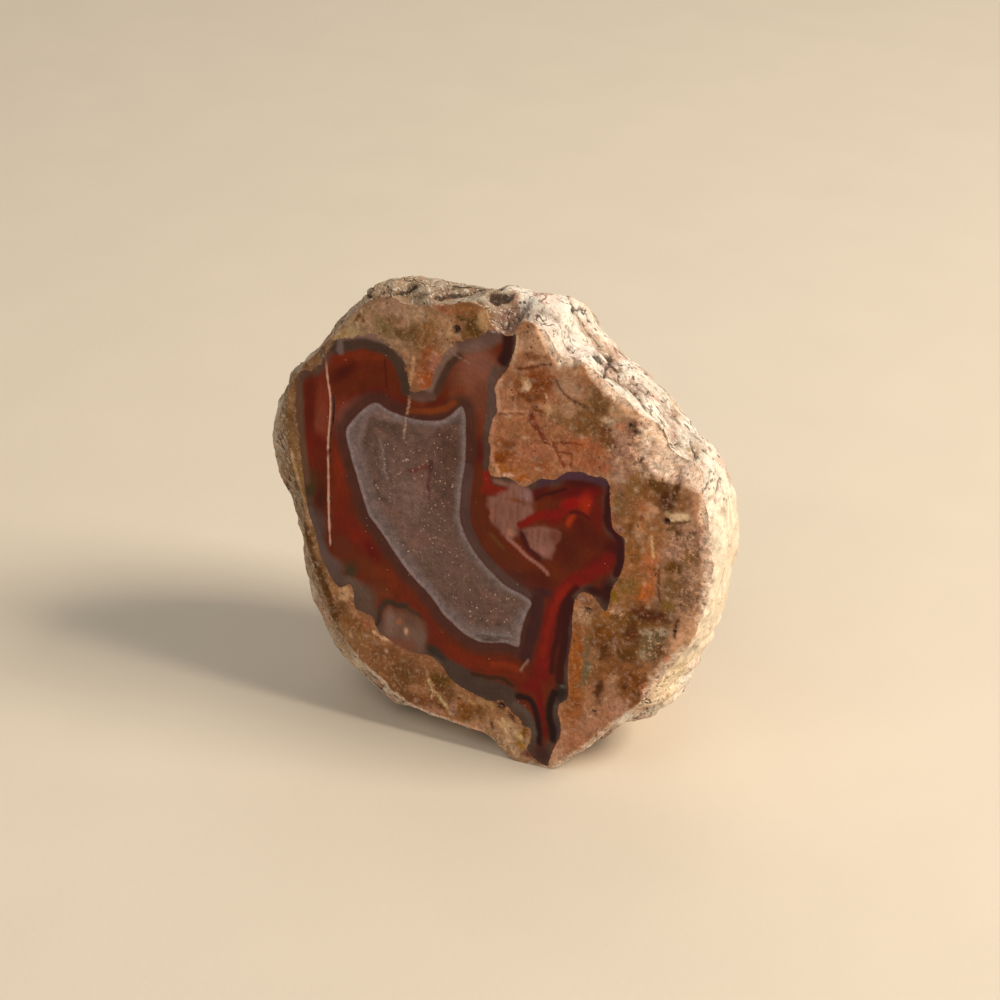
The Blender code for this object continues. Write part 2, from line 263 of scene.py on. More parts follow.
# Open seams under ledges of the rind, painted dark as their shade: half width, depth and the seam's
# corners.
RIND_SEAMS = [
    (0.22, 0.35, [
        (-27.4, 70.1, 0.8), (-25.5, 71.0, 1.6), (-24.0, 71.5, 3.0), (-21.9, 72.2, 4.2), (-20.4, 72.3, 6.0),
    ]),
    (0.55, 0.45, [(-24.0, 70.9, 1.6), (-22.4, 71.2, 2.2), (-20.8, 71.5, 2.9)]),
    (0.24, 0.35, [(-20.8, 71.5, 2.6), (-19.1, 71.9, 4.1), (-17.2, 72.2, 4.8)]),
    (0.4, 0.4, [(-22.6, 72.0, 5.0), (-20.0, 72.3, 6.4), (-17.6, 72.4, 7.4)]),
    (0.16, 0.3, [(-18.6, 71.5, 0.8), (-17.0, 72.0, 2.4), (-15.6, 72.2, 3.4)]),
    (0.2, 0.35, [
        (-7.6, 71.6, 2.2), (-4.8, 70.4, 3.6), (-1.5, 68.0, 6.0), (1.6, 65.8, 6.6), (4.3, 63.9, 5.7),
    ]),
    (0.16, 0.3, [(-4.8, 70.5, 9.0), (-2.3, 67.8, 9.4), (-0.2, 66.1, 8.4), (0.6, 65.6, 4.0)]),
    (0.18, 0.3, [(2.2, 64.6, 2.0), (5.6, 62.8, 3.4), (9.0, 61.2, 2.2), (11.3, 58.9, 1.6)]),
    (0.16, 0.3, [(6.4, 62.6, 5.4), (10.0, 60.8, 5.0), (14.0, 57.4, 5.6)]),
    (0.14, 0.25, [(-12.0, 71.0, 3.4), (-10.4, 71.2, 4.6), (-8.8, 71.9, 6.4)]),
]


def stone_in_face_coordinates():
    """A search tree of the CAD solid, in face coordinates."""
    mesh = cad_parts["agate_nodule"].data
    points = to_face([v.co for v in mesh.vertices])
    return BVHTree.FromPolygons([tuple(p) for p in points], [tuple(f.vertices) for f in mesh.polygons])


def outside_at(stone, direction):
    """Where a ray from far outside first meets the stone on its way to the middle of the face."""
    start = Vector((*MIDDLE, RAY_START_BEHIND))
    way = Vector(direction)
    return stone.ray_cast(start + way * RAY_LENGTH, -way)[0]


def rim_of_the_face(stone):
    """Evenly spaced points round the polished face, nicked a little as a sawn edge is."""
    angles = np.linspace(0.0, 2.0 * math.pi, RIM_RAYS, endpoint=False)
    rim = np.array([outside_at(stone, (math.cos(a), math.sin(a), 0.0)) for a in angles])
    rim[:, 2] = 0.0
    rim = even_steps(rim, RIM_POINTS)
    inward = np.array((*MIDDLE, 0.0)) - rim
    inward /= np.linalg.norm(inward, axis=1)[:, None]
    nicks = LARGE_NICK * smooth_step(0.1, 0.7, grain(rim, 2.1, 3.0))
    nicks += SMALL_NICK * smooth_step(0.0, 0.8, grain(rim, 0.9, 5.0))
    return rim + inward * nicks[:, None]


def even_steps(ring, count):
    """The same closed ring as the given count of evenly spaced points."""
    closed = np.vstack([ring, ring[:1]])
    run = np.concatenate([[0.0], np.cumsum(np.linalg.norm(np.diff(closed, axis=0), axis=1))])
    at = np.linspace(0.0, run[-1], count, endpoint=False)
    return np.stack([np.interp(at, run, closed[:, k]) for k in range(3)], axis=1)


def rind_columns(stone, rim):
    """A table of points: a column from each rim point over the rind to the back pole."""
    columns = []
    for point in rim:
        way = point - (*MIDDLE, 0.0)
        way /= np.linalg.norm(way)
        column = [point]
        for angle in np.linspace(0.0, math.pi / 2.0, RAYS_PER_COLUMN)[1:]:
            column.append(outside_at(stone, (*(way[:2] * math.cos(angle)), math.sin(angle))))
        columns.append(even_column(np.array(column)))
    return smoothed(np.array(columns))


def even_column(column):
    run = np.concatenate([[0.0], np.cumsum(np.linalg.norm(np.diff(column, axis=0), axis=1))])
    at = np.linspace(0.0, run[-1], RIND_ROWS + 1)
    return np.stack([np.interp(at, run, column[:, k]) for k in range(3)], axis=1)


def smoothed(table):
    """The table with the facets of the solid rounded off; the rim and the pole stay."""
    for _ in range(SMOOTHING_PASSES):
        beside = (np.roll(table, 1, 0) + np.roll(table, -1, 0))[:, 1:-1]
        along = table[:, :-2] + table[:, 2:]
        table[:, 1:-1] = 0.5 * table[:, 1:-1] + 0.125 * (beside + along)
    return table


def rind_rings(table):
    """The table as closed rings from the rim to the pole, each with points at an even spacing."""
    rings = []
    for row in range(1, RIND_ROWS):
        ring = table[:, row]
        length = np.linalg.norm(np.roll(ring, -1, 0) - ring, axis=1).sum()
        rings.append(even_steps(ring, max(8, round(length / RIND_STEP))))
    rings.append(table[:, -1].mean(axis=0)[None, :])
    return rings


def zip_rings(first, second):
    """Triangles between two closed rings of point numbers, walking round both at one pace."""
    triangles = []
    i = j = 0
    n, m = len(first), len(second)
    while i < n or (j < m and m > 1):
        if j == m or m == 1 or (i < n and (i + 1) * m <= (j + 1) * n):
            triangles.append((first[i % n], first[(i + 1) % n], second[j % m]))
            i += 1
        else:
            triangles.append((first[i % n], second[(j + 1) % m], second[j % m]))
            j += 1
    return triangles


def crack_points():
    """Rows of points beside the crack's path, so that its edges are crisp."""
    path = open_curve(CRACK)
    along = np.gradient(path, axis=0)
    along /= np.linalg.norm(along, axis=1)[:, None]
    across = np.stack([along[:, 1], -along[:, 0]], axis=1)
    return path, np.vstack([path + across * offset for offset in CRACK_ROWS])


def face_grid(rim):
    """Points of the face inside its rim: an even grid, and closer rows along the crack."""
    path, rows = crack_points()
    low, high = rim[:, :2].min(axis=0), rim[:, :2].max(axis=0)
    points = []
    for k, v in enumerate(np.arange(low[1], high[1], FACE_STEP * math.sqrt(0.75))):
        u = np.arange(low[0] + (k % 2) * FACE_STEP / 2.0, high[0], FACE_STEP)
        points.append(np.stack([u, np.full_like(u, v)], axis=1))
    grid = np.vstack(points)
    grid = grid[distance_to(grid, path) > CRACK_CLEARANCE]
    grid = np.vstack([grid, rows])
    return grid[depth_inside(grid, rim[:, :2]) > FACE_STEP * 0.55]


# The triangulation's way of keeping what lies inside the rim, and its smallest distance.
ONLY_INSIDE = 1
SAME_POINT = 1e-6


def face_triangles(rim):
    """The face's points, the rim's first, and its triangles."""
    inner = face_grid(rim)
    flat = [Vector(p[:2]) for p in rim] + [Vector(p) for p in inner]
    found = delaunay_2d_cdt(flat, [], [list(range(len(rim)))], ONLY_INSIDE, SAME_POINT)
    triangles, sources = found[2], found[3]
    faces = [tuple(sources[k][0] for k in triangle) for triangle in triangles]
    return np.array([tuple(p) for p in flat]), faces


def crack_marks(spots):
    """From 0 to 1 at each spot: the pale chipped edge of the crack, partly a painted highlight, and its
    dark slit, painted shade.
    """
    path = open_curve(CRACK[:-1])[::-1]
    u, v = spots[:, 0], spots[:, 1]
    across = u - np.interp(v, path[:, 1], path[:, 0])
    drawn_out = np.column_stack([0.4 * u, v])
    within = between(CRACK_FOOT, CRACK_HEAD, v)
    wide = between(SLIT_WIDENS, SLIT_NARROWS, v)
    dashes = np.maximum(wide, smooth_step(0.0, 0.25, grain(drawn_out, 1.1, 13.0)) * (v < DASHES_END))
    half = SLIT_NARROW + (SLIT_WIDE - SLIT_NARROW) * wide
    slit = 1.0 - smooth_step(half - 0.05, half + 0.07, np.abs(across - SLIT_OFFSET))
    ragged = CHIP_WIDTH + CHIP_RAGGEDNESS * grain(drawn_out, 0.7, 11.0)
    pale = 1.0 - smooth_step(ragged - 0.04, ragged + 0.1, np.abs(across - CHIP_OFFSET))
    chips = smooth_step(-0.75, -0.1, grain(drawn_out, 1.3, 15.0))
    return pale * within * chips, slit * dashes * within


def worn_at(points):
    """Width and drop of the worn edge of the face at each point's clock angle."""
    clock = np.degrees(np.arctan2(points[:, 1] - MIDDLE[1], points[:, 0] - MIDDLE[0]))
    width, drop = np.zeros(len(points)), np.zeros(len(points))
    for angle, half, wide, deep in WORN_EDGES:
        off = np.abs((clock - angle + 180.0) % 360.0 - 180.0) / half
        bell = 1.0 - smooth_step(0.3, 1.0, off)
        width, drop = np.maximum(width, wide * bell), np.maximum(drop, deep * bell)
    return width, drop


def wear_of(spots, rim):
    """From 0 to 1, how worn each point of the face is: 1 at a worn rim, 0 on the flat."""
    width = worn_at(spots)[0] * (1.0 + 0.45 * grain(spots, 2.6, 19.0) + 0.25 * grain(spots, 1.0, 20.0))
    wear = 1.0 - distance_to(spots, rim[:, :2], closed=True) / np.maximum(width, 0.05)
    return np.clip(wear, 0.0, 1.0) * smooth_step(0.2, 0.8, width)


def face_depth(spots, wear):
    """How far each point of the face lies behind its plane: crack, holes, broken grains, worn rim."""
    depth = np.maximum(SLIT_DEPTH * crack_marks(spots)[1], face_holes(spots)[0])
    rough = np.maximum(roughness_of_spots(spots), smooth_step(0.05, 0.5, wear))
    small_pocks = SMALL_POCK_DEPTH * smooth_step(0.0, 0.5, grain(spots, 0.8, 17.0))
    large_pocks = LARGE_POCK_DEPTH * smooth_step(0.1, 0.5, grain(spots, 1.7, 18.0))
    return depth + (small_pocks + large_pocks) * rough + worn_at(spots)[1] * wear ** WORN_CURVE


def face_holes(spots):
    """Depth of the small holes at each point, and from 0 to 1 how far it is inside one."""
    ragged = wavered(spots, 0.8, 0.12, 29.0)
    depth, inside = np.zeros(len(spots)), np.zeros(len(spots))
    for u, v, radius, deep in FACE_HOLES:
        away = np.hypot(ragged[:, 0] - u, ragged[:, 1] - v) / radius
        depth = np.maximum(depth, deep * (1.0 - smooth_step(0.45, 1.05, away)))
        inside = np.maximum(inside, 1.0 - smooth_step(0.5, 1.0, away))
    return depth, inside


def roughness_of_spots(spots):
    """From 0 to 1, how broken the polished face is at each point."""
    rough = np.zeros(len(spots))
    for u, v, half_wide, half_high in ROUGH_SPOTS:
        away = np.hypot((spots[:, 0] - u) / half_wide, (spots[:, 1] - v) / half_high)
        rough = np.maximum(rough, 1.0 - smooth_step(0.6, 1.1, away))
    return rough


def stretched(points):
    """Points squeezed so that noise on them runs along the ledges."""
    normal = LEDGE_NORMAL / np.linalg.norm(LEDGE_NORMAL)
    across = points @ normal
    return points + across[:, None] * normal * LEDGE_STRETCH


def rind_fields(points):
    """The rind's cleft noise, pits, hollows and distance to the edge of the painted shade of a seam or
    hollow.
    """
    slanted = stretched(points)
    cleft = np.abs(grain(slanted, 11.0, 21.0) + 0.16 * grain(slanted, 2.8, 23.0))
    cleft += 0.4 * (1.0 - smooth_step(0.02, 0.3, grain(points, 9.0, 27.0)))
    cluster = smooth_step(0.0, 0.45, grain(points, 6.5, 31.0))
    nearest = np.array([noise.voronoi(p)[0][0] for p in points / PIT_SPACING])
    pits = (1.0 - smooth_step(0.12, 0.34, nearest)) * cluster
    return cleft, pits, *hollows_and_seams(points)


def hollows_and_seams(points):
    """How deep the hollows and seams are at each point, and its distance to the edge of their painted
    shade.
    """
    hollow, seam = np.zeros(len(points)), np.full(len(points), SEAM_REACH)
    ragged = 1.0 + 0.3 * grain(points, 1.2, 41.0)
    for u, v, b, way, half_long, half_wide, deep in RIND_HOLLOWS:
        way = np.array(way) / np.linalg.norm(way)
        gap = points - (u, v, b)
        run = gap @ way
        off = np.linalg.norm(gap - run[:, None] * way, axis=1)
        away = np.hypot(run / half_long, off / half_wide) / ragged
        hollow = np.maximum(hollow, deep * (1.0 - smooth_step(0.2, 1.3, away)))
        seam = np.minimum(seam, (away - 0.95) * half_wide)
    frayed = wavered(points, 3.0, 0.5, 43.0, seed_step=2.0)
    for half, deep, corners in RIND_SEAMS:
        gap = distance_to(frayed, open_curve(corners, 0.6))
        hollow = np.maximum(hollow, deep * (1.0 - smooth_step(0.2 * half, half + 0.8, gap)))
        seam = np.minimum(seam, gap - half)
    return hollow, seam


def rind_height(points, cleft, pits, hollow):
    """How far each point of the rind stands out from the smooth surface."""
    height = np.zeros(len(points))
    for size, amount in RIND_LUMPS:
        height += amount * grain(points, size, size)
    slant = points @ LEDGE_NORMAL / LEDGE_SIZE + 0.8 * grain(points, 8.0, 51.0)
    step = slant - np.floor(slant)
    ledge = np.where(step < 1.0 - LEDGE_DROP, step / (1.0 - LEDGE_DROP), (1.0 - step) / LEDGE_DROP)
    height += LEDGE_HEIGHT * (ledge - 0.5) * smooth_step(-0.1, 0.4, grain(points, 11.0, 61.0))
    height -= CLEFT_DEPTH * (1.0 - smooth_step(0.0, CLEFT_WIDTH, np.abs(cleft)))
    height -= PIT_DEPTH * pits
    return height * smooth_step(0.0, RIM_FADE, points[:, 2]) - hollow


def outward(points, triangles):
    """The outward direction of the surface at each point."""
    a, b, c = (points[triangles[:, k]] for k in range(3))
    facing = np.cross(b - a, c - a)
    total = np.zeros_like(points)
    for k in range(3):
        np.add.at(total, triangles[:, k], facing)
    return total / np.maximum(np.linalg.norm(total, axis=1), 1e-9)[:, None]


# Outline of the agate on the face, clockwise from its left end.
AGATE_EDGE = [
    (-46.2, 53.6), (-45.5, 48.0), (-44.7, 43.4), (-43.8, 38.0), (-42.9, 33.5), (-41.8, 31.0), (-41.0, 28.5),
    (-40.3, 26.5), (-39.2, 24.5), (-38.0, 22.8), (-36.8, 22.0), (-35.2, 22.9), (-34.4, 21.6), (-34.2, 19.4),
    (-33.0, 18.8), (-31.0, 18.3), (-30.2, 16.6), (-29.2, 15.9), (-26.5, 14.6), (-23.5, 14.0), (-21.5, 14.2),
    (-20.0, 13.9), (-18.5, 12.8), (-17.5, 11.5), (-16.2, 10.6), (-14.0, 9.8), (-11.0, 9.1), (-9.5, 9.1),
    (-8.2, 9.7), (-7.2, 8.7), (-6.0, 7.7), (-5.0, 7.2), (-4.6, 6.3), (-3.4, 6.2), (-3.0, 5.0), (-3.2, 3.6),
    (-3.6, 2.6), (-2.2, 1.2), (-1.2, 0.7), (0.0, 0.5), (0.4, 2.0), (0.9, 3.8), (1.5, 5.5), (1.8, 7.0),
    (1.5, 8.5), (1.0, 10.0), (1.2, 11.3), (2.4, 12.7), (2.4, 14.5), (2.1, 17.0), (2.1, 20.0), (2.3, 23.0),
    (2.2, 26.0), (2.3, 28.6), (3.1, 30.2), (4.4, 30.5), (5.6, 29.8), (6.5, 28.8), (7.3, 28.2), (7.8, 29.5),
    (7.9, 31.5), (8.5, 33.0), (9.3, 35.0), (9.6, 37.3), (9.4, 39.0), (9.2, 40.4), (8.0, 41.0), (7.2, 41.8),
    (6.9, 43.5), (6.5, 46.0), (6.2, 48.2), (5.3, 49.1), (3.6, 48.9), (2.0, 49.2), (0.4, 49.0), (-0.9, 48.5),
    (-2.3, 47.2), (-4.6, 46.9), (-5.6, 46.1), (-6.6, 45.3), (-7.6, 45.0), (-8.8, 45.6), (-10.2, 46.0),
    (-11.6, 45.6), (-12.8, 45.9), (-13.0, 47.6), (-12.9, 50.0), (-13.4, 51.2), (-12.9, 54.6), (-12.3, 55.6),
    (-12.6, 58.0), (-12.9, 59.6), (-12.2, 61.0), (-11.0, 62.8), (-10.5, 64.4), (-10.1, 66.4), (-10.2, 68.1),
    (-11.6, 68.2), (-13.4, 68.3), (-14.6, 67.8), (-16.4, 66.5), (-18.2, 65.8), (-19.6, 65.2), (-20.8, 63.8),
    (-21.9, 61.9), (-22.8, 60.0), (-23.3, 58.3), (-23.9, 57.0), (-25.0, 56.6), (-26.2, 56.3), (-26.9, 58.0),
    (-27.5, 60.0), (-28.2, 61.4), (-29.4, 62.3), (-31.0, 63.2), (-32.6, 63.9), (-34.2, 64.0), (-36.0, 63.2),
    (-37.8, 62.6), (-39.4, 62.3), (-40.4, 60.6), (-41.2, 58.8), (-42.6, 57.0), (-44.4, 56.2), (-45.6, 55.2),
]

# Outline of the grey filled centre, clockwise from its upper left.
CORE_EDGE = [
    (-36.9, 48.3), (-35.4, 50.6), (-33.3, 52.8), (-31.8, 53.4), (-30.0, 52.6), (-27.5, 52.2), (-25.0, 52.1),
    (-23.0, 52.3), (-21.0, 52.9), (-19.4, 54.2), (-18.1, 55.6), (-17.3, 54.0), (-17.0, 50.0), (-16.9, 47.0),
    (-17.2, 44.0), (-17.3, 40.0), (-17.2, 38.0), (-16.5, 36.0), (-15.4, 34.2), (-14.0, 32.5), (-12.4, 31.0),
    (-11.0, 30.0), (-9.5, 28.9), (-8.0, 28.3), (-6.4, 27.9), (-4.6, 26.9), (-5.2, 25.0), (-5.7, 23.0),
    (-6.0, 21.0), (-6.2, 19.2), (-8.0, 19.3), (-9.5, 19.1), (-11.0, 18.7), (-12.5, 18.5), (-14.5, 18.9),
    (-16.0, 19.6), (-17.5, 20.6), (-19.0, 21.6), (-20.5, 23.3), (-22.0, 24.7), (-24.0, 26.2), (-26.0, 28.0),
    (-28.0, 30.2), (-29.5, 32.0), (-31.0, 33.6), (-32.4, 35.0), (-33.1, 36.5), (-33.9, 38.5), (-34.8, 41.0),
    (-35.6, 43.0), (-36.3, 45.0), (-36.8, 46.6),
]

# Colours are written as the photo shows them, from 0 to 255; a spot is a place on the face, its
# half width and half height, its turn in degrees and its colour.
GROUND_COLOUR = (148, 102, 70)
RED_COLOUR = (98, 40, 21)
OUTER_BAND = (84, 63, 55)
INNER_BAND = (74, 46, 40)
WORN_PALE = (248, 222, 198)
WORN_BROWN = (190, 146, 122)
CORE_COLOUR = (100, 76, 66)
CORE_ZONE = (113, 97, 97)
CORE_BLUSH = (116, 82, 72)
CORE_RIM = (138, 122, 122)
# Painted shade inside the small holes of the face.
HOLE_SHADE = (38, 24, 14)
FIBRE_COLOUR = (104, 60, 50)
FIBRE_SIZE = (0.45, 2.6)
# The crack's pale chipped edge, partly painted highlight, and the painted shade of its slit.
CHIP_PALE_AND_HIGHLIGHT = (206, 160, 142)
SLIT_SHADE = (34, 14, 9)

GROUND_REGIONS = [
    (-30.0, 67.0, 12.0, 5.5, 15.0, (150, 121, 94)), (-44.0, 52.0, 5.0, 10.0, -10.0, (116, 86, 60)),
    (-46.0, 38.0, 4.0, 9.0, 10.0, (118, 90, 54)), (-42.0, 25.0, 3.5, 8.0, 20.0, (112, 82, 50)),
    (-37.0, 14.0, 6.0, 6.0, 30.0, (128, 94, 62)), (-24.0, 8.0, 8.0, 6.0, 0.0, (126, 82, 48)),
    (-12.0, 6.0, 5.0, 3.5, 0.0, (140, 98, 62)), (-6.0, 3.0, 4.0, 3.0, 0.0, (165, 134, 104)),
    (-4.0, 55.0, 9.0, 9.0, 0.0, (163, 108, 76)), (-5.0, 66.5, 6.0, 3.0, 0.0, (178, 138, 108)),
    (4.5, 58.0, 5.0, 5.0, 0.0, (150, 110, 76)), (10.0, 54.0, 5.0, 5.0, -30.0, (168, 130, 112)),
    (17.0, 52.0, 4.0, 4.0, -40.0, (205, 172, 148)), (15.0, 48.0, 5.0, 3.0, -20.0, (128, 90, 50)),
    (19.0, 42.0, 4.0, 4.5, 0.0, (168, 128, 106)), (12.0, 38.0, 4.0, 8.0, 0.0, (150, 98, 56)),
    (18.5, 33.0, 4.0, 6.0, 0.0, (148, 112, 88)), (12.0, 26.0, 6.0, 4.0, 0.0, (112, 74, 30)),
    (7.5, 21.0, 4.0, 5.0, 0.0, (130, 86, 48)), (12.0, 17.0, 4.0, 3.5, -45.0, (122, 74, 34)),
    (9.0, 12.0, 4.0, 3.0, -40.0, (158, 112, 86)), (4.0, 6.5, 4.0, 5.0, -30.0, (164, 114, 86)),
    (20.5, 27.0, 2.2, 6.0, -20.0, (208, 160, 126)), (3.3, 17.0, 1.4, 9.0, 4.0, (148, 84, 34)),
]
